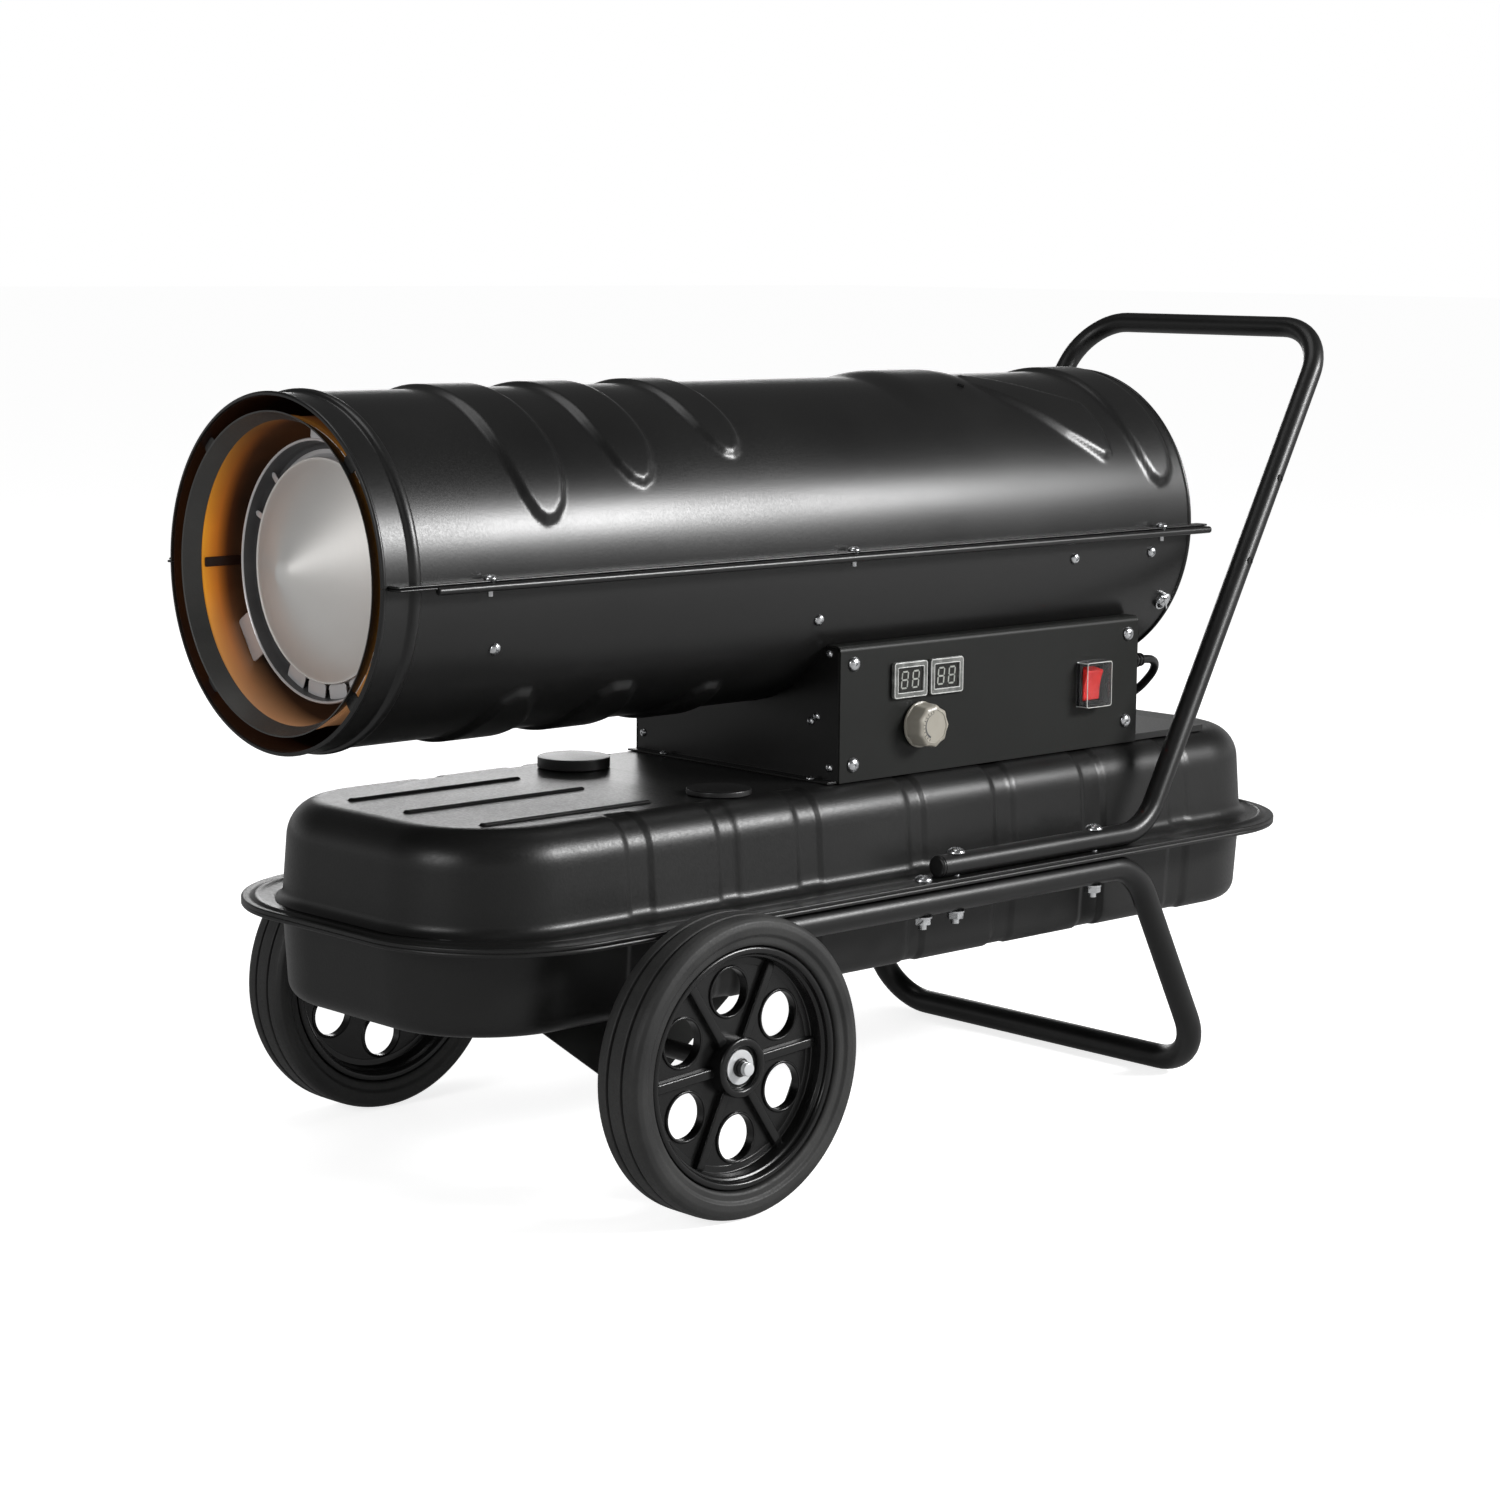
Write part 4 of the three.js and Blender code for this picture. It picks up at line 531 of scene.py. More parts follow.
lead = {
    "radius": 3.25, "exit": (90, 521.3, 314),
    "loop": [(90, 525.3, 314), (89.05, 533.8, 313.05), (86.3, 541.5, 310.3), (82, 547.5, 306),
             (76.6, 551.5, 300.6), (70.6, 552.8, 294.6), (64, 552.2, 288), (56.2, 549.8, 281.4),
             (47.8, 545.6, 275.4), (39.4, 540, 270.8), (31, 533, 267.4), (23, 525.4, 265.3)],
    "coil": {"centre": (-20, 542), "middle": 33, "turns": 6.125, "layers": 4, "spacing": 6.95,
             "floor": 263.75, "start": -45, "steps": 32},
    "tail": [(-36, 503.8, 285), (-46, 504.4, 284.2), (-56, 506.6, 282.2), (-65.4, 510.8, 279.6),
             (-73.6, 517, 276.8), (-80, 524.6, 274.6)],
    "end": (-86, 532, 272.3), "length": 1.47,
}


def coilPoints(size):
    perLayer = size["turns"] / size["layers"]
    span = perLayer * size["spacing"]
    outer = size["middle"] + span / 2
    count = round(size["turns"] * size["steps"])
    made = []
    for i in range(count + 1):
        turned = size["turns"] * i / count * (1 - 1e-9)
        layer = math.floor(turned / perLayer)
        share = turned / perLayer - layer
        radius = outer - (share if layer % 2 == 0 else 1 - share) * span
        climbed = 0
        for k in range(1, size["layers"]):
            t = min(max((turned - k * perLayer) / 0.5 + 0.5, 0), 1)
            climbed += t * t * (3 - 2 * t)
        angle = math.radians(size["start"] - 360 * turned)
        made.append(Vector((size["centre"][0] + radius * math.cos(angle),
                            size["centre"][1] + radius * math.sin(angle),
                            size["floor"] + climbed * size["spacing"])))
    return made


def leadPath():
    wound = coilPoints(lead["coil"])
    first = smoothPath([lead["exit"], *lead["loop"], wound[0] - (wound[1] - wound[0]).normalized() * 6.5], 4)
    last = smoothPath([wound[-1] + (wound[-1] - wound[-2]).normalized() * 6.5, *lead["tail"], lead["end"]], 4)
    return [*first, *wound, *last]


def buildLead():
    path = leadPath()
    data = bpy.data.curves.new("mainsLead", "CURVE")
    data.dimensions = "3D"
    line = data.splines.new("POLY")
    line.points.add(len(path) - 1)
    for spot, point in zip(line.points, path):
        spot.co = (*(toFrame @ point), 1)
    data.bevel_depth, data.bevel_resolution, data.use_fill_caps = lead["radius"] / 1000, 5, True
    data.materials.append(finishes["cordRubber"])
    piece = inScene("mainsLead", data)
    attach(piece, "heater")
    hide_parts("cord_lead", "cord_coil", "cord_tail")
    length = sum((b - a).length for a, b in zip(path, path[1:]))
    print("lead:", round(length), "mm")
    return piece


glandSize = {"centre": (90, 0, 314), "ribs": 5, "back": 489, "plate": 497, "flange": 500.6, "tip": 521}


def buildGland():
    mesh = bmesh.new()
    size = glandSize
    profile = [(0, size["back"]), (8, size["back"]), (8, size["plate"] + 0.3), (10.5, size["plate"] + 0.3),
               (10.5, size["flange"]), (7.6, size["flange"])]
    step = (size["tip"] - size["flange"]) / (2 * size["ribs"])
    for k in range(size["ribs"]):
        y = size["flange"] + 2 * k * step
        radius = 7.4 - 2.6 * k / size["ribs"]
        profile += [(radius - 1.1, y + 0.3 * step), (radius - 1.1, y + 0.9 * step), (radius, y + 1.2 * step),
                    (radius - 0.3, y + 1.9 * step)]
    profile += [(4.4, size["tip"]), (3.3, size["tip"]), (0, size["tip"] - 0.2)]
    turn(mesh, rounded(profile, 0.4, 2), "y", size["centre"], 40)
    return addPiece("leadGland", mesh, "cordRubber", stands=("cord_gland",))


plugSize = {"place": (-86, 532, 272.3), "face": 42, "pin": 19, "pinRadius": 2.4, "spread": 9.5}


def buildPlug():
    size = plugSize
    cx, cy, cz = size["place"]
    mesh = bmesh.new()
    stations = [(-0.1, 7.4, 7.4), (0.4, 8.6, 8.6), (3, 9.6, 9.6), (3.6, 8.8, 8.8), (6, 9, 9),
                (6.6, 10.4, 10.4), (9, 10.6, 10.6), (9.6, 9.8, 9.8), (12, 10.2, 10.2), (12.6, 12.6, 11.8),
                (16, 17, 14), (20, 26, 19), (24, 32.5, 22.6), (29, 35.4, 23.7), (36, 36, 24),
                (41.2, 35.8, 23.8), (42, 34.6, 22.6)]
    loops = []
    for y, width, height in stations:
        shape = rectLoop(width / 2, height / 2, min(width, height) * 0.42, 5)(0)
        loops.append([(cx + u, cy + y, cz + v) for u, v in shape])
    capped(mesh, loops)
    for k in range(-3, 4):  # finger ribs on its flanks
        for side in (1, -1):
            rib = [Vector((cx + side * 17.9, cy + 33 + 2.1 * k, cz + end)) for end in (-7, 7)]
            capped(mesh, crossLoops(rib, 0.7, 8))
    body = addPiece("mainsPlug", mesh, "cordRubber", stands=("plug",), crease=40)
    pins = bmesh.new()
    for side in (1, -1):
        tip = size["face"] + size["pin"]
        turn(pins, rounded([(0, size["face"] - 1), (size["pinRadius"], size["face"] - 1),
                            (size["pinRadius"], tip), (0, tip)], 1.6, 4), "y",
             (cx + side * size["spread"], cy, cz), 24)
    return body, addPiece("plugPins", pins, "zinc")


def buildTie():
    size = {"angle": 100, "inner": 23.6, "outer": 42.4, "low": 260.35, "high": 288.6, "width": 7,
            "thick": 1.1}
    mesh = bmesh.new()
    radial, across = spokeOf(math.radians(size["angle"]), "z")
    centre = Vector((*lead["coil"]["centre"], 0))
    middle = (size["inner"] + size["outer"]) / 2, (size["low"] + size["high"]) / 2
    half = (size["outer"] - size["inner"]) / 2, (size["high"] - size["low"]) / 2
    shape = rectLoop(*half, 5, 6, middle)
    loops = []
    for inset, w in ((0, -1), (0, 1), (-size["thick"], 1), (-size["thick"], -1), (0, -1)):
        loops.append([centre + radial * u + across * (w * size["width"] / 2) + Vector((0, 0, max(v, 260.1)))
                      for u, v in shape(inset)])
    loft(mesh, loops)
    return addPiece("leadTie", mesh, "blackPlastic", bevel=0.2)


mainsLead = buildLead()
plugBody, plugPins = buildPlug()
buildGland()
buildTie()

barrel = {"radius": 114, "axis": barrelAxis, "front": -220, "back": 547, "wall": 1.2, "rim": 1.7,
          "bead": -194, "beadWidth": 8, "beadHeight": 2.5}
# Raised ribs, each an outline of (y, degrees up from the seam); they run over the top to the other side.
ribs = {
    "height": 3.2, "edge": 6.5,
    "upper": [
        [(-105, 95), (-105, 47), (-103, 35), (-99, 26), (-93, 20), (-86, 17.5), (-78, 18.5), (-70, 23),
         (-64, 31), (-61, 42), (-61, 95)],
        [(-20, 95), (-20, 54), (-18, 44), (-13, 35), (-6, 30), (2, 28), (10, 30), (17, 36), (21, 44),
         (22, 54), (22, 95)],
        [(71, 95), (71, 58), (73, 49), (78, 42), (84, 38), (91, 37), (98, 39), (103, 44), (105, 51),
         (105, 95)],
        [(494, 95), (494, 50), (496, 38), (500, 27), (506, 20), (514, 17), (522, 18), (529, 22),
         (533, 30), (534, 42), (534, 95)],
    ],
    "ridge": [(381, 80), (372, 68), (399, 55), (430, 39), (460, 28), (468, 30), (472, 42), (469, 54),
              (438, 62), (396, 76)],
    "pad": {"middle": 338, "half": 52, "start": 46, "fade": 26, "height": 4.2},  # along y, and in degrees
    "lower": [
        [(-105, 95), (-105, 60), (-99, 46), (-90, 42), (-80, 42), (-72, 48), (-61, 60), (-61, 95)],
        [(-20, 95), (-20, 60), (-14, 48), (-6, 44), (8, 44), (16, 48), (22, 60), (22, 95)],
        [(71, 95), (71, 66), (77, 54), (84, 50), (95, 50), (101, 54), (105, 66), (105, 95)],
    ],
}


# How far inside (+) or outside (-) an outline each point lies.
def insideBy(u, v, outline):
    nearest = np.full(u.shape, 1e9)
    inside = np.zeros(u.shape, bool)
    for (u0, v0), (u1, v1) in zip(outline, outline[1:] + outline[:1]):
        du, dv = u1 - u0, v1 - v0
        t = np.clip(((u - u0) * du + (v - v0) * dv) / (du * du + dv * dv), 0, 1)
        nearest = np.minimum(nearest, np.hypot(u - u0 - t * du, v - v0 - t * dv))
        if abs(dv) > 1e-9:
            inside ^= ((v0 > v) != (v1 > v)) & (u < u0 + (v - v0) / dv * du)
    return np.where(inside, nearest, -nearest)


def stepped(value):
    t = np.clip(value, 0, 1)
    return t * t * (3 - 2 * t)


def embossed(y, degrees, part):
    fold = np.minimum(degrees, 180 - degrees)
    arc = np.radians(fold) * barrel["radius"]
    height = np.zeros(y.shape)
    outlines = list(ribs[part]) + ([ribs["ridge"]] if part == "upper" else [])
    for outline in outlines:
        flat = [(a, math.radians(b) * barrel["radius"]) for a, b in outline]
        height = np.maximum(height, ribs["height"] * stepped(0.5 + insideBy(y, arc, flat) / ribs["edge"]))
    if part == "upper":
        pad = ribs["pad"]
        along = stepped(1.15 - ((y - pad["middle"]) / pad["half"]) ** 2)
        dome = along * stepped((fold - pad["start"]) / pad["fade"])
        height = np.maximum(height, pad["height"] * dome)
    bead = np.clip(1 - ((y - barrel["bead"]) / (barrel["beadWidth"] / 2)) ** 2, 0, 1) ** 0.5
    for edge in (barrel["front"] + barrel["rim"], barrel["back"] - barrel["rim"]):
        rim = np.clip(1 - ((y - edge) / barrel["rim"]) ** 2, 0, 1) ** 0.5
        height = height + barrel["rim"] * 0.8 * rim
    return height + barrel["beadHeight"] * bead


def alongStations():
    front, back = barrel["front"], barrel["back"]
    stations = [front + d for d in (0, 0.3, 0.8, 1.4, 2, 2.6, 3.1, 3.4, 6, 10, 14)]
    stations += list(np.arange(-199.5, -188, 0.8)) + list(np.arange(-188, -116, 8.0))
    stations += list(np.arange(-114, -50, 2.0)) + [-45, -38, -31] + list(np.arange(-28, 30, 2.0))
    stations += [38, 47, 56] + list(np.arange(62, 114, 2.0)) + list(np.arange(120, 270, 12.0))
    stations += list(np.arange(276, 540, 2.5))
    stations += [back - d for d in (5, 3.4, 3.1, 2.6, 2, 1.4, 0.8, 0.3, 0)]
    return np.array(sorted(set(round(float(s), 3) for s in stations)))


def shellSkin(mesh, part):
    sign = 1 if part == "upper" else -1
    seam = math.degrees(0.15 / barrel["radius"])
    degrees = np.linspace(seam, 180 - seam, 161)
    y, angle = np.meshgrid(alongStations(), degrees, indexing="ij")
    radius = barrel["radius"] + embossed(y, angle, part)
    outside = [ring(mesh,
                    zip(r * np.cos(np.radians(a)), v, barrel["axis"] + sign * r * np.sin(np.radians(a))))
               for r, a, v in zip(radius, angle, y)]
    inner = barrel["radius"] - barrel["wall"]
    inside = [ring(mesh, [(inner * math.cos(math.radians(a)), v,
                           barrel["axis"] + sign * inner * math.sin(math.radians(a))) for a in degrees])
              for v in np.linspace(barrel["front"], barrel["back"], 6)]
    for rows in (outside, inside):
        for first, second in zip(rows, rows[1:]):
            join(mesh, first, second, closed=False)
    for row in (0, -1):
        join(mesh, outside[row], inside[row], closed=False)
    for end in (0, -1):
        fill(mesh, [[r[end] for r in outside] + [r[end] for r in reversed(inside)]])


def buildShell(part):
    mesh = bmesh.new()
    shellSkin(mesh, part)
    sign, reach = (1, 10) if part == "upper" else (-1, 12)
    thick, root = 1.5, barrel["radius"] - 0.6
    for side in (1, -1):
        low, high = sorted((barrel["axis"] + sign * 0.15, barrel["axis"] + sign * (0.15 + thick)))
        prism(mesh, rectLoop((reach + 0.6) / 2, 385, 0.8, 3, (0, 170)), [], low, high, 0.6,
              lambda u, v, w, side=side: (side * (root + (reach + 0.6) / 2 + u), v, w))
        if part == "lower":
            turn(mesh, rounded([(0, -186), (2.6, -186), (2.6, 555), (0, 555)], 0.8, 3), "y",
                 (side * (barrel["radius"] + reach), 0, barrel["axis"] - 2.65), 24)
    return mesh


for part in ("upper", "lower"):
    addPiece(part + "Shell", buildShell(part), "blackPaint", stands=(part + "_shell",),
             crease=50)
print("shells embossed")

outlet = {
    "lip": [(103.4, -219), (97.9, -207), (96.9, -207.4), (102.2, -218.8)],
    "sleeve": {"radius": 97.5, "wall": 1.2, "front": -206.6, "back": 325, "hem": 1.4},
    "chamber": {"radius": 82, "wall": 1.2, "front": -170, "back": 320},
    "ring": [(83.4, -176), (84.9, -176), (85.1, -184.2), (84.3, -185.2), (83.2, -184.6), (81.9, -177),
             (80.9, -173.6), (74.4, -173.6), (73.3, -176.5), (72.4, -180.2), (70, -180.4), (66, -180.2),
             (66, -179.2), (71.6, -179), (73.6, -172.4), (81.8, -172.4)],
    "cone": [(0, -216), (10, -211.4), (40, -196.6), (70.4, -181.4), (71.9, -180.9), (72.2, -181.6),
             (72.6, -181.2), (71.9, -179.9), (69.4, -179.8), (40, -193.8), (0, -213.6)],
    "tabAngles": (84, 213, 334), "tabWidth": 31, "vanes": (246, 263, 280, 297), "clips": (133, 156, 20),
}
axisCentre = (0, 0, barrel["axis"])


def closedTurn(profile, reach, sides=160, axis="y", centre=axisCentre):
    mesh = bmesh.new()
    turnClosed(mesh, rounded(profile, reach, 3, closed=True), axis, centre, sides)
    return mesh


def radialPlate(mesh, inner, outer, width, y0, y1, degrees, edge=0.3):
    out, across = spokeOf(math.radians(degrees), "y")
    centre = Vector(axisCentre)
    corner = min(2.5, (outer - inner) * 0.3)
    prism(mesh, rectLoop((outer - inner) / 2, width / 2, corner, 4), [], y0, y1, edge,
          lambda u, v, w: tuple(centre + out * ((inner + outer) / 2 + u) + across * v + Vector((0, w, 0))))


def buildOutlet():
    lip = closedTurn(outlet["lip"], 0.6)
    for degrees in (45, 135, 225, 315):
        radialPlate(lip, 100, 112.4, 12, -213, -211.8, degrees)
    addPiece("outletLip", lip, "lipCoat", stands=("outlet_lip",))
    size = outlet["sleeve"]
    r, w, y0 = size["radius"], size["wall"], size["front"]
    sleeve = closedTurn([(r, y0 + 1), (r + 0.3, y0), (r + w + size["hem"], y0), (r + w + size["hem"], y0 + 3),
                         (r + w, y0 + 3.6), (r + w, size["back"]), (r, size["back"])], 0.5)
    for y in (-150, 250):
        for degrees in (90, 210, 330):
            radialPlate(sleeve, r + w / 2, 112.3, 14, y, y + 1.2, degrees)
    addPiece("heatSleeve", sleeve, "heatTintAndPaintedShade", stands=("heat_shield",))
    seam = bmesh.new()  # the sleeve's lap joint, a strip along its left side with its rivets
    prism(seam, rectLoop(3.2, 262, 1, 3, (0, 57)), [], 95.9, 97.3, 0.4,
          lambda u, v, w: (-w, v, barrel["axis"] + u))
    addPiece("sleeveSeam", seam, "scaleAndReflectionBrown")
    # A thin brown lining inside the shell's mouth, a painted reflection of the orange sleeve.
    addPiece("mouthReflectionLiner", closedTurn([(112.4, -218.4), (112.7, -218.4), (112.7, -190), (112.4, -190)], 0.1),
             "scaleAndReflectionBrown")
    size = outlet["chamber"]
    r, w = size["radius"], size["wall"]
    chamber = closedTurn([(r - w, size["front"]), (r, size["front"]), (r, size["back"] - 1),
                          (r - 1, size["back"]), (20, size["back"]), (20, size["back"] - w),
                          (r - w, size["back"] - w)], 0.5)
    for degrees in (90, 210, 330):
        radialPlate(chamber, r - w / 2, 96.8, 14, size["back"] - w, size["back"], degrees)
    addPiece("fireChamber", chamber, "ringSteel", stands=("combustion_chamber",))
    dish = closedTurn(outlet["ring"], 0.9)
    for degrees in outlet["tabAngles"]:
        radialPlate(dish, 82.8, 96.3, outlet["tabWidth"], -184.6, -183.4, degrees, 0.35)
        out, across = spokeOf(math.radians(degrees), "y")
        prism(dish, rectLoop(8, 6.5, 2, 4, (8, 0)), [], 95.2, 96.4, 0.3,
              lambda u, v, w: tuple(Vector(axisCentre) + out * w + across * v + Vector((0, -184.6 + u, 0))))
    for degrees in outlet["clips"]:
        radialPlate(dish, 72.6, 81.5, 4, -179.8, -179.0, degrees, 0.3)
    for degrees in outlet["vanes"]:
        radialPlate(dish, 72.4, 82.8, 18.5, -179.6, -178.8, degrees, 0.25)
    addPiece("chamberDish", dish, "ringSteel", stands=("chamber_ring",))
    # A thin grey sheet in the dish's groove by the ring's lip, painted shadow.
    addPiece("dishGrooveShade", closedTurn([(82.8, -184), (81.5, -176.9), (80.4, -174.1), (77.6, -174.1),
                                       (77.6, -173.8), (80.9, -173.8), (82.1, -176.9), (83.2, -184)], 0.1),
             "grooveShadeGrey")
    cone = bmesh.new()
    turn(cone, rounded(outlet["cone"], 0.8, 3), "y", axisCentre, 160)
    addPiece("flameCone", cone, "coneSteel", stands=("cone_deflector",), crease=50)


buildOutlet()
print("outlet built")

# Screws, bolts and nuts are spread by geometry nodes.


def nodeTree(name, sizes):
    tree = bpy.data.node_groups.new(name, "GeometryNodeTree")
    tree.interface.new_socket("Geometry", in_out="INPUT", socket_type="NodeSocketGeometry")
    for label, value in sizes.items():
        kind = "NodeSocketInt" if isinstance(value, int) else "NodeSocketFloat"
        tree.interface.new_socket(label, in_out="INPUT", socket_type=kind).default_value = value
    tree.interface.new_socket("Material", in_out="INPUT", socket_type="NodeSocketMaterial")
    tree.interface.new_socket("Geometry", in_out="OUTPUT", socket_type="NodeSocketGeometry")
    return tree, tree.nodes.new("NodeGroupInput"), tree.nodes.new("NodeGroupOutput")


def vectorOf(tree, x, y, z):
    return node(tree, "ShaderNodeCombineXYZ", X=x, Y=y, Z=z).outputs[0]


def closeTree(tree, shape, given, taken):
    whole = node(tree, "GeometryNodeRealizeInstances", Geometry=shape)
    painted = node(tree, "GeometryNodeSetMaterial", Geometry=whole.outputs[0],
                   Material=given.outputs["Material"])
    tree.links.new(painted.outputs[0], taken.inputs[0])
    return tree


# One instance at each point, its z axis along the point's "facing", turned by its "twist".
def onPoints(tree, given, shape):
    facing = node(tree, "GeometryNodeInputNamedAttribute", {"data_type": "FLOAT_VECTOR"}, Name="facing")
    twist = node(tree, "GeometryNodeInputNamedAttribute", {"data_type": "FLOAT"}, Name="twist")
    aligned = node(tree, "FunctionNodeAlignRotationToVector", {"axis": "Z"}, Vector=facing.outputs[0])
    spun = node(tree, "FunctionNodeAxisAngleToRotation", Axis=(0, 0, 1), Angle=twist.outputs[0])
    both = node(tree, "FunctionNodeRotateRotation", {"rotation_space": "LOCAL"}, Rotation=aligned.outputs[0],
                Rotate_By=spun.outputs[0])
    return node(tree, "GeometryNodeInstanceOnPoints", Points=given.outputs["Geometry"], Instance=shape,
                Rotation=both.outputs[0]).outputs[0]


# A domed head with a cross or a slot in it, and its shank below.
def headTree():
    tree, given, taken = nodeTree("screwHead", {"Head Radius": 0.004, "Head Height": 0.0026,
                                                "Slot Width": 0.001, "Slot Length": 0.005,
                                                "Slot Depth": 0.0012, "Cross": 1.0, "Shank Radius": 0.002,
                                                "Shank Length": 0.006})
    size = given.outputs
    ball = node(tree, "GeometryNodeMeshUVSphere", Segments=28, Rings=16, Radius=1.0)
    dome = node(tree, "GeometryNodeTransform", Geometry=ball.outputs[0],
                Scale=vectorOf(tree, size["Head Radius"], size["Head Radius"], size["Head Height"]))
    under = node(tree, "GeometryNodeMeshCube", Size=(0.1, 0.1, 0.1))
    below = node(tree, "GeometryNodeTransform", Geometry=under.outputs[0], Translation=(0, 0, -0.05))
    slotSize = vectorOf(tree, size["Slot Length"], size["Slot Width"], size["Slot Depth"])
    slot = node(tree, "GeometryNodeMeshCube", Size=slotSize)
    lift = mathOf(tree, "SUBTRACT", size["Head Height"], mathOf(tree, "MULTIPLY", size["Slot Depth"], 0.35))
    first = node(tree, "GeometryNodeTransform", Geometry=slot.outputs[0],
                 Translation=vectorOf(tree, 0.0, 0.0, lift))
    crossed = vectorOf(tree, 0.0, 0.0, mathOf(tree, "MULTIPLY", size["Cross"], math.pi / 2))
    second = node(tree, "GeometryNodeTransform", Geometry=first.outputs[0], Rotation=crossed)
    head = node(tree, "GeometryNodeMeshBoolean", {"operation": "DIFFERENCE"}, i0=dome.outputs[0])
    for cutter in (below, first, second):
        tree.links.new(cutter.outputs[0], head.inputs["Mesh 2"])
    stem = node(tree, "GeometryNodeMeshCylinder", Vertices=16, Radius=size["Shank Radius"],
                Depth=size["Shank Length"])
    drop = mathOf(tree, "MULTIPLY", size["Shank Length"], -0.5)
    shank = node(tree, "GeometryNodeTransform", Geometry=stem.outputs["Mesh"],
                 Translation=vectorOf(tree, 0.0, 0.0, drop))
    whole = node(tree, "GeometryNodeJoinGeometry")
    tree.links.new(head.outputs[0], whole.inputs[0])
    tree.links.new(shank.outputs[0], whole.inputs[0])
    return closeTree(tree, onPoints(tree, given, whole.outputs[0]), given, taken)


# A hexagon nut with rounded corners on its washer, with the bolt's end through it.
def nutTree():
    tree, given, taken = nodeTree("hexNut", {"Nut Radius": 0.006, "Nut Height": 0.005,
                                             "Washer Radius": 0.0065, "Washer Height": 0.001,
                                             "End Radius": 0.003, "End Height": 0.004})
    size = given.outputs
    parts = []
    for sides, radius, height, foot in ((6, "Nut Radius", "Nut Height", "Washer Height"),
                                        (32, "Washer Radius", "Washer Height", None),
                                        (20, "End Radius", "End Height", "Nut Height")):
        rod = node(tree, "GeometryNodeMeshCylinder", Vertices=sides, Radius=size[radius], Depth=size[height])
        lift = mathOf(tree, "MULTIPLY", size[height], 0.5)
        if foot:
            lift = mathOf(tree, "ADD", lift, size[foot])
        moved = node(tree, "GeometryNodeTransform", Geometry=rod.outputs["Mesh"],
                     Translation=vectorOf(tree, 0.0, 0.0, lift))
        if sides == 6:
            ball = node(tree, "GeometryNodeMeshUVSphere", Segments=32, Rings=24,
                        Radius=mathOf(tree, "MULTIPLY", size["Nut Radius"], 1.06))
            placed = node(tree, "GeometryNodeTransform", Geometry=ball.outputs[0],
                          Translation=vectorOf(tree, 0.0, 0.0, lift))
            worn = node(tree, "GeometryNodeMeshBoolean", {"operation": "INTERSECT"})
            for shape in (moved, placed):
                tree.links.new(shape.outputs[0], worn.inputs["Mesh 2"])
            moved = worn
        parts.append(moved)
    whole = node(tree, "GeometryNodeJoinGeometry")
    for part in parts:
        tree.links.new(part.outputs[0], whole.inputs[0])
    return closeTree(tree, onPoints(tree, given, whole.outputs[0]), given, taken)


# Runs a tree over a start mesh and returns the plain mesh that it makes.
def grown(name, tree, start, sizes, finish):
    holder = inScene(name + "Start", start)
    modifier = holder.modifiers.new("grow", "NODES")
    modifier.node_group = tree
    for item in tree.interface.items_tree:
        if item.in_out == "INPUT" and item.name in sizes:
            modifier[item.identifier] = sizes[item.name]
        if item.in_out == "INPUT" and item.name == "Material":
            modifier[item.identifier] = finishes[finish]
    graph = bpy.context.evaluated_depsgraph_get()
    data = bpy.data.meshes.new_from_object(holder.evaluated_get(graph))
    data.name = name
    bpy.data.objects.remove(holder)
    for label in [a.name for a in data.attributes if a.name in ("facing", "twist", "UVMap")]:
        data.attributes.remove(data.attributes[label])
    return smoothShaded(data, 32)


def placesMesh(name, places):
    data = bpy.data.meshes.new(name)
    data.from_pydata([tuple(toFrame @ Vector(place)) for place, _ in places], [], [])
    for label, kind in (("facing", "FLOAT_VECTOR"), ("twist", "FLOAT")):
        data.attributes.new(label, kind, "POINT")
    for i, (_, normal) in enumerate(places):
        data.attributes["facing"].data[i].vector = Vector(normal).normalized()
        data.attributes["twist"].data[i].value = 0.7 + 1.9 * i
    return data


screwHead, hexNut = headTree(), nutTree()


def spreadHeads(name, places, sizes, finish="zinc", stands=(), tree=screwHead):
    inMetres = {key: value if key == "Cross" else value / 1000 for key, value in sizes.items()}
    data = grown(name, tree, placesMesh(name, places), inMetres, finish)
    return addPiece(name, data, finish, stands=stands)


# The slot's length, width and depth, and the shank's radius and length.
def panHead(radius=4.3, height=3.0, slot=(3.2, 0.8, 1.1), cross=1.0, shank=(2.0, 6.0)):
    return {"Head Radius": radius, "Head Height": height, "Slot Length": slot[0], "Slot Width": slot[1],
            "Slot Depth": slot[2], "Cross": cross, "Shank Radius": shank[0], "Shank Length": shank[1]}


# Radius and height of the nut, its washer and the bolt's end.
def nutSize(nut, washer, end):
    return {"Nut Radius": nut[0], "Nut Height": nut[1], "Washer Radius": washer[0],
            "Washer Height": washer[1], "End Radius": end[0], "End Height": end[1]}


def onShell(degrees, y, lift=0.0):
    a = math.radians(degrees)
    radius = barrel["radius"] + lift
    return (radius * math.cos(a), y, barrel["axis"] + radius * math.sin(a)), (math.cos(a), 0, math.sin(a))


seamYs = (-141, 178, 505)
seamPlaces = [((side * 120.5, y, 418.75), (0, 0, 1)) for y in seamYs for side in (1, -1)]
spreadHeads("seamScrews", seamPlaces, panHead())
spreadHeads("seamNuts", [((x, y, 415.25), (0, 0, -1)) for (x, y, _), _ in seamPlaces],
            nutSize((3.9, 2.8), (4.0, 0.3), (1.9, 4.4)), tree=hexNut)
shellScrews = [(-23, -125), (-24, 161), (-9, 416), (-9, 503)]
spreadHeads("shellScrews", [onShell(d if side > 0 else 180 - d, y) for d, y in shellScrews
                            for side in (1, -1)], panHead())
spreadHeads("shellRivets", [onShell(d, 359, 3.2) for d in (66, 114)], panHead(5.0, 2.0, (5.0, 2.4, 2.6), 0.0),
            finish="tubePaint")
motorBolts = [onShell(d, 533) for d in (-30, 210)]
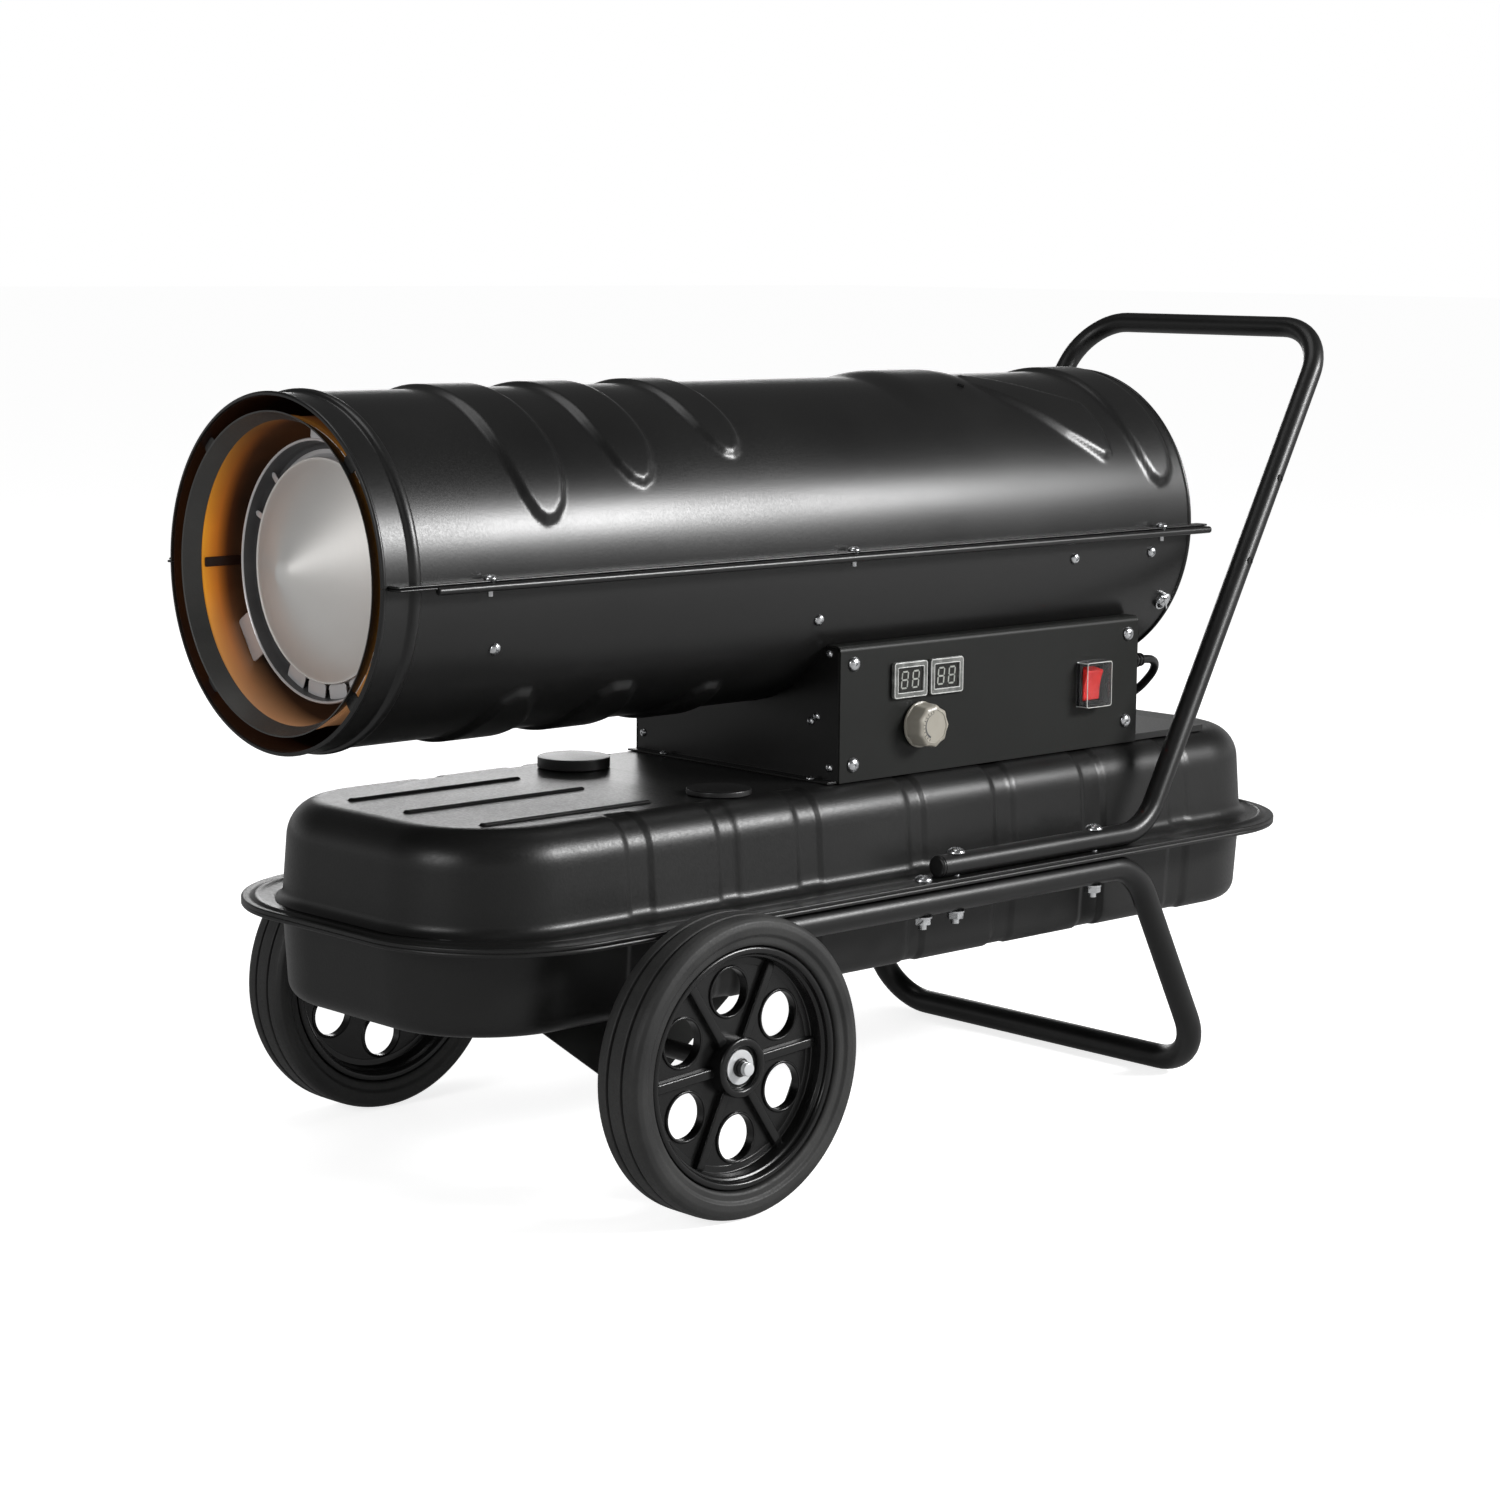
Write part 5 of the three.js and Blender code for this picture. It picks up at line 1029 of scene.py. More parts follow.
spreadHeads("motorBoltHeads", [(tuple(Vector(p) + Vector(n) * 2.4), n) for p, n in motorBolts],
            panHead(5.8, 2.9, (12.0, 1.3, 2.0), 0.0))
spreadHeads("motorBoltCollars", motorBolts, nutSize((6.2, 0.6), (7.2, 2.4), (5.6, 0.3)), tree=hexNut)
cornerBolts = [(338, 193), (338, 485), (272, 484), (267, 193)]
cornerPlaces = [((side * 107.1, y, z), (side, 0, 0)) for z, y in cornerBolts for side in (1, -1)]
spreadHeads("coverBolts", cornerPlaces, panHead(5.3, 3.3, (3.6, 0.8, 0.9)))
plateScrews = [((x, 179.9, z), (0, -1, 0)) for x, z in
               ((-99, 268), (96, 345), (97, 265), (-99, 341), (78, 296), (84, 300))]
spreadHeads("plateScrews", plateScrews, panHead(3.0, 1.9, (2.4, 0.6, 0.8)))
footScrews = [((x, 174.5, 256.6), (0, 0, 1)) for x in (-70, 84)]
spreadHeads("footScrews", footScrews, panHead(3.0, 1.8, (3.4, 0.7, 1.0)))
rearScrews = [((x, 497.1, z), (0, 1, 0)) for x, z in ((-97, 268), (-97, 341), (97, 344), (97, 268))]
spreadHeads("rearScrews", rearScrews, panHead(3.0, 1.9, (3.4, 0.7, 1.0)))
print("screws spread")

panelFolds = [(107, 351, 4.4), (105.5, 349.5, 3.0)]
for nodeName, name, finish, edge, bends in (
        ("control_panel", "controlPanel", "panelPaint", 0.3, panelFolds),
        ("left_cover", "leftCover", "panelPaint", 0.3, panelFolds),
        ("front_plate", "frontPlate", "blackPaint", 0.3, ()),
        ("rear_plate", "rearPlate", "blackPaint", 0.3, ()),
        ("base_plate", "basePlate", "blackPaint", 0.4, ())):
    softenedCopy(nodeName, name, finish, edge, bends)

display = {"half": (17, 13), "window": (12.6, 8.6), "centres": (247, 284), "z": 323, "face": 107.3,
           "depth": 3, "digit": (6.0, 5.8), "digitGap": 5.5, "bar": 1.15, "lean": 0.1}


def panelPlace(cy, cz):
    return lambda u, v, w: (w, cy + u, cz + v)


# The seven bars of a digit, drawn as thin lozenges about its middle.
def digitBars(mesh, cy, cz, x0, x1):
    halfU, halfV = display["digit"][0] / 2, display["digit"][1]
    spots = [((0, halfV), 0), ((0, 0), 0), ((0, -halfV), 0)]
    spots += [((su * halfU, sv * halfV / 2), 90) for su in (1, -1) for sv in (1, -1)]
    for (u, v), turned in spots:
        half = (halfU if turned == 0 else halfV / 2) - 0.35
        bar = display["bar"] / 2
        outline = [(-half, 0), (-half + bar, bar), (half - bar, bar), (half, 0), (half - bar, -bar),
                   (-half + bar, -bar)]
        if turned:
            outline = [(-b, a) for a, b in outline]
        loops = [[(x, cy + u + a + display["lean"] * (v + b), cz + v + b) for a, b in outline]
                 for x in (x0, x1)]
        capped(mesh, loops)


def buildDisplays():
    for nodeName, name, cy in zip(("room_display", "set_display"), ("roomDisplay", "setDisplay"),
                                  display["centres"]):
        place = panelPlace(cy, display["z"])
        face, depth = display["face"], display["depth"]
        frameMesh = bmesh.new()
        prism(frameMesh, rectLoop(*display["half"], 2.4), [rectLoop(*display["window"], 0.8)], face,
              face + depth, 0.8, place)
        addPiece(name + "Frame", frameMesh, "displayFrame")
        # Pale rims round the frame and its window, a painted highlight.
        edges = bmesh.new()
        for half, corner, inset in (((16.6, 12.6), 2.0, 0.7), ((13.4, 9.4), 1.0, 0.6)):
            prism(edges, rectLoop(*half, corner), [rectLoop(half[0] - inset, half[1] - inset, corner * 0.7)],
                  face + depth - 0.3, face + depth + 0.2, 0.15, place)
        addPiece(name + "Edges", edges, "paintedEdgeHighlight")
        body = bmesh.new()
        prism(body, rectLoop(14.9, 10.9, 0.5), [], 88, face, 0.2, place)
        prism(body, rectLoop(12.5, 8.5, 0.6), [], face - 0.1, face + depth - 1.1, 0.2, place)
        addPiece(name + "Glass", body, "displayGlass", stands=(nodeName,))
        digits = bmesh.new()
        for side in (1, -1):
            digitBars(digits, cy + side * display["digitGap"], display["z"], face + depth - 1.05,
                      face + depth - 0.75)
        addPiece(name + "Digits", digits, "displayDigits")


knob = {"y": 258, "z": 290, "base": 108.8, "radius": 16.5, "height": 15, "lobes": 9, "flat": 1.15}


def buildKnob():
    mesh = bmesh.new()
    base, top = knob["base"], knob["base"] + knob["height"]
    sides = knob["lobes"] * 10
    levels = [(0.3, base), (0, base + 0.3), (0, base + 1.6), (0.4, base + 2.0), (1.0, top - 2.6),
              (1.5, top - 1.3), (2.6, top - 0.5), (4.0, top - 0.1), (4.6, top), (5.0, top - 0.5),
              (5.6, top - 0.6), (10, top - 0.6)]
    loops = []
    for inset, x in levels:
        flat = knob["flat"] if 0.35 < inset < 4.2 else 0.15
        loop = []
        for k in range(sides):
            a = 2 * math.pi * k / sides
            dip = flat * abs(math.sin(knob["lobes"] * a / 2)) ** 1.3
            radius = knob["radius"] - inset - dip
            loop.append((x, knob["y"] + radius * math.cos(a), knob["z"] + radius * math.sin(a)))
        loops.append(loop)
    rings = loft(mesh, loops)
    fill(mesh, [rings[-1]])
    hole = [(base, y, z) for y, z in circleLoop(3.3, 24, (knob["y"], knob["z"]))(0)]
    deep = [(119.3, y, z) for _, y, z in hole]
    bore = loft(mesh, [hole, deep])
    fill(mesh, [bore[1]])
    fill(mesh, [rings[0], bore[0]])
    addPiece("thermostatDial", mesh, "knobPlastic", "knob", ("thermostat_knob",), crease=38)
    marks = bmesh.new()
    count, start, sweep = 11, 95, 150
    for k in range(count):
        out, across = spokeOf(math.radians(start + sweep * k / (count - 1)), "x")
        centre = Vector((0, knob["y"], knob["z"]))
        inner, outer = 9.4, 10.4 + (0.5 if k % 2 else 0.9)
        prism(marks, rectLoop((outer - inner) / 2, 0.26, 0.1, 2), [], top - 0.6, top - 0.42, 0.05,
              lambda u, v, w, o=out, c=across, i=inner, e=outer: tuple(
                  Vector((w, 0, 0)) + centre + o * ((i + e) / 2 + u) + c * v))

    def onDial(radius, k):
        a = math.radians(start + sweep * k / 24)
        return radius * math.cos(a), radius * math.sin(a)

    wedge = [onDial(8.9 - 1.3 * k / 24, k) for k in range(25)]  # it widens towards the hot end
    wedge += [onDial(9.0, k) for k in range(24, -1, -1)]
    capped(marks, [[(x, knob["y"] + u, knob["z"] + v) for u, v in wedge] for x in (top - 0.58, top - 0.42)])
    addPiece("dialMarks", marks, "knobMarks", "knob")


switch = {"y": 441, "z": 304, "pivot": 106, "tilt": 10}


def buildSwitch():
    softenedCopy("switch_body", "switchBezel", "blackPlastic", 0.4)
    mesh = bmesh.new()
    section = rounded([(-6, -11.5), (6.2, -11.5), (5.3, -4), (5.0, 0), (5.3, 4), (6.2, 11.5), (-6, 11.5)],
                      1.2, 4, True)
    a = math.radians(switch["tilt"])
    loops = []
    for v, inset in ((-8.8, 0.7), (-8.5, 0.2), (-8.0, 0), (8.0, 0), (8.5, 0.2), (8.8, 0.7)):
        loop = []
        for x, z in section:
            x, z = x - math.copysign(inset, x), z - math.copysign(inset, z) if abs(z) > 6 else z
            loop.append((switch["pivot"] + x * math.cos(a) + z * math.sin(a), switch["y"] + v,
                         switch["z"] - x * math.sin(a) + z * math.cos(a)))
        loops.append(loop)
    capped(mesh, loops)
    addPiece("switchRocker", mesh, "rockerRed", "rocker", ("switch_rocker",), crease=45)
    cover = bmesh.new()
    x0, x1 = 107.35, 118.3
    outer, inner = rectLoop(14.2, 17.2, 2.4, 6), rectLoop(13.3, 16.3, 1.7, 6)
    place = panelPlace(switch["y"], switch["z"])
    shown = [(outer, 0, x0), (outer, 0, x1 - 1.6), (outer, 0.5, x1 - 0.5), (outer, 1.6, x1)]
    hidden = [(inner, 1.2, x1 - 1.0), (inner, 0.3, x1 - 1.4), (inner, 0, x1 - 2.2), (inner, 0, x0)]
    front, behind = (loft(cover, [[place(u, v, x) for u, v in shape(inset)] for shape, inset, x in levels])
                     for levels in (shown, hidden))
    fill(cover, [front[-1]])
    fill(cover, [behind[0]])
    join(cover, front[0], behind[-1])
    addPiece("switchCap", cover, "clearPlastic", stands=("switch_cover",), crease=40)
    # Pale rims and corner posts on the cover's edges, a painted highlight.
    edges = bmesh.new()
    prism(edges, rectLoop(13.9, 16.9, 2.1, 6), [rectLoop(13.3, 16.3, 1.6, 6)], x1 - 0.5, x1 + 0.1, 0.15,
          place)
    for u, v in ((13.3, 16.3), (-13.3, 16.3), (13.3, -16.3), (-13.3, -16.3)):
        prism(edges, circleLoop(0.4, 12, (u, v)), [], x0, x1 - 0.6, 0.1, place)
    addPiece("switchCapEdges", edges, "paintedEdgeHighlight")


buildDisplays()
buildKnob()
buildSwitch()
print("housing built")

tank = {
    "bottom": 121, "seam": 185.1, "top": 255, "wall": 1.5, "edges": {1: 26, -1: 13}, "draft": 2.5,
    "body": {"halfWidth": 125, "front": -167, "back": 657, "corner": 84},
    "flange": {"halfWidth": 162, "front": -187, "back": 670, "corner": 108},
    "bands": [(-28, -8), (52, 69), (125, 146), (234, 250), (323, 343), (420, 443), (519, 540)],
    "bandDepth": 1.5, "bandEdge": 2.6,
    "grooves": [(-55, -122, 26), (7, -123, 32), (78, -116, 30)], "grooveHalf": 3.6,
}

# The filler and the gauge stand on the tank's top.
filler = {"place": (-70, 88), "bore": 16.5, "neck": 19, "neckTop": 260, "cap": 26, "foot": 255.3,
          "top": 263.3}
gauge = {"place": (83, 88), "stem": 9, "stemFoot": 193.3, "radius": 22.5, "foot": 255.3, "top": 259.1}


# A rounded outline of (x, y) with close stations where the bands lie.
def tankOutline(size, inset):
    half, corner = size["halfWidth"] - inset, max(size["corner"] - inset, 1)
    y0, y1 = size["front"] + inset, size["back"] - inset
    sideYs = list(np.linspace(tank["flange"]["front"] + tank["flange"]["corner"], 562, 260))
    made = []

    def arc(cx, cy, first):
        made.extend((cx + corner * math.cos(math.radians(first + 90 * k / 28)),
                     cy + corner * math.sin(math.radians(first + 90 * k / 28))) for k in range(29))

    low, high = y0 + corner, y1 - corner
    spread = [low + (y - sideYs[0]) / (sideYs[-1] - sideYs[0]) * (high - low) for y in sideYs]
    made.extend((half, y) for y in spread[1:-1])
    arc(half - corner, high, 0)
    made.extend((half - corner - 2 * (half - corner) * k / 12, y1) for k in range(1, 12))
    arc(-half + corner, high, 90)
    made.extend((-half, y) for y in reversed(spread[1:-1]))
    arc(-half + corner, low, 180)
    made.extend((-half + corner + 2 * (half - corner) * k / 12, y0) for k in range(1, 12))
    arc(half - corner, low, 270)
    return made


def bandDent(x, y):
    if abs(x) < 60 or not tank["bands"][0][0] - 20 < y < tank["bands"][-1][1] + 20:
        return 0.0
    deepest = max(min(y - low, high - y) for low, high in tank["bands"])
    t = min(max(0.5 + deepest / tank["bandEdge"], 0), 1)
    return tank["bandDepth"] * t * t * (3 - 2 * t)


def tankStations(sign):
    end = tank["top"] if sign > 0 else tank["bottom"]
    seam = tank["seam"] + sign * 0.15
    flange = seam + sign * 2.75
    round_, draft = tank["edges"][sign], tank["draft"]
    stations = [("flange", 0, seam, 0), ("flange", 0, seam + sign * 1.9, 0),
                ("flange", 0.5, seam + sign * 2.6, 0), ("flange", 1.4, flange, 0)]
    for share, rise in ((0.16, 0), (0.24, 0), (0.3, 1.0), (0.36, 1.3), (0.42, 1.0), (0.48, 0), (0.7, 0),
                        (0.8, 0)):
        stations.append((share, 0, flange + sign * rise * (1 if sign > 0 else 0), 0))
    fillet = 8
    for k in range(1, 6):
        a = math.pi / 2 * k / 5
        stations.append((1.0, -fillet * (1 - math.sin(a)), flange + sign * fillet * (1 - math.cos(a)), k / 5))
    foot = flange + sign * fillet
    shoulder = end - sign * round_
    for k in range(0, 9):
        t = k / 8
        stations.append((1.0, draft * t, foot + (shoulder - foot) * t, 1))
    for k in range(1, 11):
        a = math.pi / 2 * k / 10
        stations.append((1.0, draft + (round_ - draft) * (1 - math.cos(a)),
                         shoulder + sign * round_ * math.sin(a), 1))
    for step, dent in ((1, 0.5), (2.5, 0)):
        stations.append((1.0, round_ + step, end, dent))
    return stations


def tankSkin(sign):
    mesh = bmesh.new()
    loops = []
    flangeSize, bodySize = tank["flange"], tank["body"]
    end = tank["top"] if sign > 0 else tank["bottom"]
    outer = tankOutline(flangeSize, 0)
    body = tankOutline(bodySize, 0)
    for share, inset, z, dent in tankStations(sign):
        if share == "flange":
            loops.append([(x, y, z) for x, y in tankOutline(flangeSize, inset)])
        elif share < 1:
            loops.append([(a[0] + (b[0] - a[0]) * share, a[1] + (b[1] - a[1]) * share, z)
                          for a, b in zip(outer, body)])
        else:
            loop = []
            for x, y in tankOutline(bodySize, inset):
                pressed = bandDent(x, y) * dent
                turned = math.asin(min(max((tank["edges"][sign] - abs(z - end)) / tank["edges"][sign], 0), 1))
                loop.append((x - math.copysign(pressed * math.cos(turned), x), y,
                             z - sign * pressed * math.sin(turned)))
            loops.append(loop)
    rings = loft(mesh, loops)
    return mesh, rings[-1]


def stadium(x, y0, y1, half, steps=8):
    made = [(x + half * math.cos(math.pi * k / steps), y1 - half + half * math.sin(math.pi * k / steps))
            for k in range(steps + 1)]
    return made + [(x - half * math.cos(math.pi * k / steps),
                    y0 + half - half * math.sin(math.pi * k / steps)) for k in range(steps + 1)]


def buildTank():
    mesh, rim = tankSkin(1)
    holes = []
    for x, y0, y1 in tank["grooves"]:
        rings = []
        for inset, rise in ((-0.8, 0), (0, 0), (0.6, 0.5), (1.1, 1.1), (1.7, 1.5), (2.5, 1.7)):
            half = tank["grooveHalf"] - inset
            rings.append([(u, v, tank["top"] + rise) for u, v in stadium(x, y0 + inset, y1 - inset, half)])
        made = loft(mesh, rings)
        fill(mesh, [made[-1]])
        holes.append(made[0])
    x, y = filler["place"]
    holes.append(ring(mesh, [(x + a, y + b, tank["top"]) for a, b in circleLoop(filler["bore"], 40)(0)]))
    fill(mesh, [rim, *holes])
    addPiece("tankUpper", mesh, "tankPaint", stands=("tank_upper",), crease=50,
             wall=tank["wall"])
    lower, rim = tankSkin(-1)
    fill(lower, [rim])
    addPiece("tankLower", lower, "tankPaint", stands=("tank_lower",), crease=50,
             wall=tank["wall"])
    rise = filler["neckTop"] - tank["top"] + 0.1
    neck = closedTurn([(filler["bore"], 0), (filler["neck"], 0), (filler["neck"], rise),
                       (filler["bore"], rise)], 0.6, 64, "z", (*filler["place"], tank["top"] - 0.1))
    addPiece("fillerNeck", neck, "tankPaint")


def buildCapAndGauge():
    cap = bmesh.new()
    foot, top, radius = filler["foot"], filler["top"], filler["cap"]
    lift = filler["neckTop"] + 0.3
    profile = [(0, lift), (filler["neck"] + 0.3, lift), (filler["neck"] + 0.3, foot), (radius - 0.8, foot),
               (radius, foot + 0.6), (radius, top - 1.0), (radius - 0.3, top - 0.3), (radius - 1.2, top),
               (0, top)]
    turn(cap, profile, "z", (*filler["place"], 0), 96)
    addPiece("fuelCapDisc", cap, "blackPlastic", "cap", ("fuel_cap",), crease=30)
    dial = bmesh.new()
    foot, top, radius, stem = gauge["foot"], gauge["top"], gauge["radius"], gauge["stem"]
    profile = [(0, gauge["stemFoot"]), (stem, gauge["stemFoot"]), (stem, foot), (radius - 0.3, foot),
               (radius, foot + 0.4), (radius, top - 0.9), (radius - 0.3, top - 0.3), (radius - 1.1, top),
               (0, top)]
    turn(dial, profile, "z", (*gauge["place"], 0), 96)
    addPiece("fuelGaugeDisc", dial, "blackPlastic", stands=("fuel_gauge",))


buildTank()
buildCapAndGauge()
print("tank built")

tubes = {"handle": {"node": "handle", "radius": 8, "wall": 1.5, "bend": 45,
                    "half": [(152, 235, 196.3), (152, 455, 196.3), (123, 697, 565)]},
         "leg": {"node": "leg_frame", "radius": 9.5, "wall": 1.5, "bend": 40,
                 "half": [(152, 60, 172.25), (152, 445, 172.25), (167, 515, 9.5)]}}


def mirroredPath(half):
    return [*half, *((-x, y, z) for x, y, z in reversed(half))]


def buildTubes():
    for name, size in tubes.items():
        mesh = bmesh.new()
        openTube(mesh, bentPath(mirroredPath(size["half"]), size["bend"], 14), size["radius"], size["wall"])
        addPiece(name + "Tube", mesh, "tubePaint", stands=(size["node"],), crease=45)
    plugs = bmesh.new()
    for side in (1, -1):
        turn(plugs, rounded([(0, 247), (6, 247), (6, 234.6), (8, 234.6), (8, 233), (6.6, 232), (0, 231.6)],
                            0.8, 3), "y", (side * 152, 0, 196.3), 32)
    addPiece("handleEnds", plugs, "blackPlastic",
             stands=("handle_plug_right", "handle_plug_left"))
    places, undersides = [], []
    for side in (1, -1):
        for y, z in ((219, 188.35), (252, 204.2), (399, 204.2)):
            places.append(((side * 152, y, z), (0, 0, 1)))
            undersides.append(((side * 152, y, 162.9), (0, 0, -1)))
    names = [f"clamp_bolt_{where}_{side}" for where in ("front", "middle", "rear")
             for side in ("right", "left")]
    spreadHeads("clampHeads", places, panHead(6.4, 3.9, (6.4, 1.1, 1.6), 1.0, (3.0, 20.0)), stands=names)
    spreadHeads("clampNuts", undersides, nutSize((6.0, 4.6), (6.8, 1.0), (3.0, 4.6)), tree=hexNut)
    dimples = bmesh.new()
    foot, head = (Vector(corner) for corner in tubes["handle"]["half"][1:])
    direction = (head - foot).normalized()
    out = Vector((1, 0, 0)) - direction * direction.x
    out.normalize()
    for side in (1, -1):
        for y in (622, 582):
            centre = foot.lerp(head, (y - foot.y) / 242)
            path = [centre + out * 7.2, centre + out * 8.0, centre + out * 8.5]
            path = [Vector((side * p.x, p.y, p.z)) for p in path]
            capped(dimples, [crossLoops(path, r, 20)[k] for k, r in ((0, 3.2), (1, 3.2), (2, 2.6), (2, 1.9),
                                                                     (0, 1.4))])
    addPiece("handleEyelets", dimples, "tubePaint")


buildTubes()
print("tubes and bolts built")

wheel = {"x": 191, "z": 100, "holeRing": 49, "hole": 15.5, "spokes": 6, "turn": 94}
tyreSection = [(80.4, 13.5), (80.8, 16.2), (82.4, 17.3), (86.2, 17.6), (87.2, 18.4), (88.4, 19.5),
               (93.0, 19.9), (96.6, 19.0), (98.9, 16.6), (99.8, 13.6), (100, 9.2), (99.8, 8.0), (96.9, 7.5),
               (96.9, 6.1), (99.8, 5.6), (100, 4.4), (100, 0)]
rimSection = [(80, -15.6), (80, 13.6), (79.6, 15.0), (78.2, 15.8), (76.0, 15.6), (74.8, 14.2), (74.3, 11.4),
              (72.4, 10.6), (71.8, 8), (71.2, 2.4), (66, 2), (66, -3), (71.2, -3.4), (72, -12), (74, -15),
              (76, -16.4), (79, -16.6)]
hubSection = [(6.4, -19.6), (17.4, -19.6), (18.6, -18.6), (19.2, -4), (20, 1), (20, 11.4), (19.2, 12.6),
              (17.6, 13), (15.6, 12.8), (14.6, 11.8), (14.2, 7.9), (6.4, 7.9)]
lipSection = [(15.4, -4.4), (17.6, -3.2), (17.6, 1.8), (17.0, 3.2), (15.8, 3.2), (15.4, 2.4)]


def wheelPlace(side):
    return lambda u, v, w: (side * (wheel["x"] + w), u, wheel["z"] + v)


def buildWheel(sideName):
    side = 1 if sideName == "right" else -1
    centre = (side * wheel["x"], 0, wheel["z"])
    tyre = bmesh.new()
    outside = rounded(tyreSection, 0.9, 3)
    turnClosed(tyre, outside + [(r, -x) for r, x in reversed(outside[:-1])], "x", centre, 144, side)
    addPiece(sideName + "Tyre", tyre, "tyreRubber", "wheel_" + sideName, ("tyre_" + sideName,))
    rim = bmesh.new()
    turnClosed(rim, rounded(rimSection, 0.8, 3, True), "x", centre, 144, side)
    turnClosed(rim, rounded(hubSection, 0.7, 3, True), "x", centre, 72, side)
    place = wheelPlace(side)
    step, first = 2 * math.pi / wheel["spokes"], math.radians(wheel["turn"])
    holes = [circleLoop(wheel["hole"], 40, (wheel["holeRing"] * math.cos(first + step * k),
                                            wheel["holeRing"] * math.sin(first + step * k)))
             for k in range(wheel["spokes"])]
    prism(rim, circleLoop(68, 120), [*holes, circleLoop(17, 60)], -2.8, 1.8, 0.5, place)
    for k in range(wheel["spokes"]):
        a = first + step * k
        spot = (side * wheel["x"], wheel["holeRing"] * math.cos(a),
                wheel["z"] + wheel["holeRing"] * math.sin(a))
        turnClosed(rim, rounded(lipSection, 0.6, 3, True), "x", spot, 48, side)
        out, across = spokeOf(a + step / 2, "x")
        rib = rounded([(-3.9, 1), (-3.2, 6.4), (3.2, 6.4), (3.9, 1)], 1.3, 3)
        loops = []
        for r, lower, narrow in ((18.5, 0, 1), (66, 0, 1), (70, 0.4, 1), (71.6, 1.6, 0.95)):
            loops.append([Vector((side * (wheel["x"] + h - lower * (h > 3)), 0, wheel["z"])) + out * r
                          + across * (w * narrow) for w, h in rib])
        capped(rim, loops)
    addPiece(sideName + "Rim", rim, "rimPlastic", "wheel_" + sideName, ("rim_" + sideName,),
             crease=35)


def buildAxle():
    axle = bmesh.new()
    half = rounded([(0, 206), (4.9, 206), (5, 199.1), (6, 199), (6, 170.7), (10, 170.7), (10, 166.7),
                    (6, 166.7)], 0.5, 3)
    turn(axle, half + [(r, -x) for r, x in reversed(half)], "x", (0, 0, wheel["z"]), 40)
    addPiece("wheelAxle", axle, "blackPaint", stands=("axle",))
    washers, stubs, clipRings = bmesh.new(), bmesh.new(), bmesh.new()
    washer = rounded([(5.3, 8.3), (11.5, 8.3), (11.5, 9.8), (5.3, 9.8)], 0.4, 2, True)
    stub = [(0, 9.7), (4.6, 9.7), (4.6, 17.4), (4.3, 18.1), (3.6, 18.4), (0, 18.4)]
    clip = rounded([(4.5, 9.7), (6.3, 9.7), (6.3, 10.8), (5.8, 11.4), (4.5, 11.4)], 0.3, 2, True)
    for side in (1, -1):
        centre = (side * wheel["x"], 0, wheel["z"])
        turnClosed(washers, washer, "x", centre, 56, side)
        turn(stubs, [(r, side * x) for r, x in stub], "x", centre, 48)
        turnClosed(clipRings, clip, "x", centre, 48, side)
    addPiece("hubWashers", washers, "washerZinc", stands=("wheel_nut_right", "wheel_nut_left"))
    addPiece("hubStubs", stubs, "washerZinc")
    addPiece("hubClips", clipRings, "blackPlastic")


for sideName in ("right", "left"):
    buildWheel(sideName)
buildAxle()
softenedCopy("axle_bracket", "axleCradle", "panelPaint", 0.4)
print("wheels built")

fanSize = {"root": 18.5, "tip": 88, "blades": 6, "middle": 400,
           "hubProfile": [(4.3, 388), (17, 388), (20, 391), (20, 412), (4.3, 412)]}


def buildFan():
    mesh = bmesh.new()
    turnClosed(mesh, rounded(fanSize["hubProfile"], 1.2, 3, True), "y", axisCentre, 64)
    for k in range(fanSize["blades"]):
        a = 2 * math.pi * k / fanSize["blades"]
        loops = []
        for step in range(9):
            t = step / 8
            radius = fanSize["root"] + (fanSize["tip"] - fanSize["root"]) * t
            pitch = math.radians(48 - 24 * t)
            chord = 22 + 26 * math.sin(math.pi * min(0.5 + 0.45 * t, 1)) * t + 8 * t
            chord *= 1 if t < 0.95 else 0.72
            half, thick = chord / 2, 0.8
            loop = []
            for side in (1, -1):
                for m in range(7):
                    s = (-1 + 2 * m / 6) * side
                    arch = 2.2 * (1 - s * s)
                    v = s * half
                    w = arch + side * thick
                    around = v * math.cos(pitch) + w * math.sin(pitch)
                    along = v * math.sin(pitch) - w * math.cos(pitch)
                    angle = a + around / max(radius, 22)
                    loop.append((radius * math.cos(angle), fanSize["middle"] + max(-11.5, min(11.5, along)),
                                 barrel["axis"] + radius * math.sin(angle)))
            loops.append(loop)
        capped(mesh, loops)
    addPiece("fanBlades", mesh, "castMetal", "fan_rotor", ("fan",), crease=40)


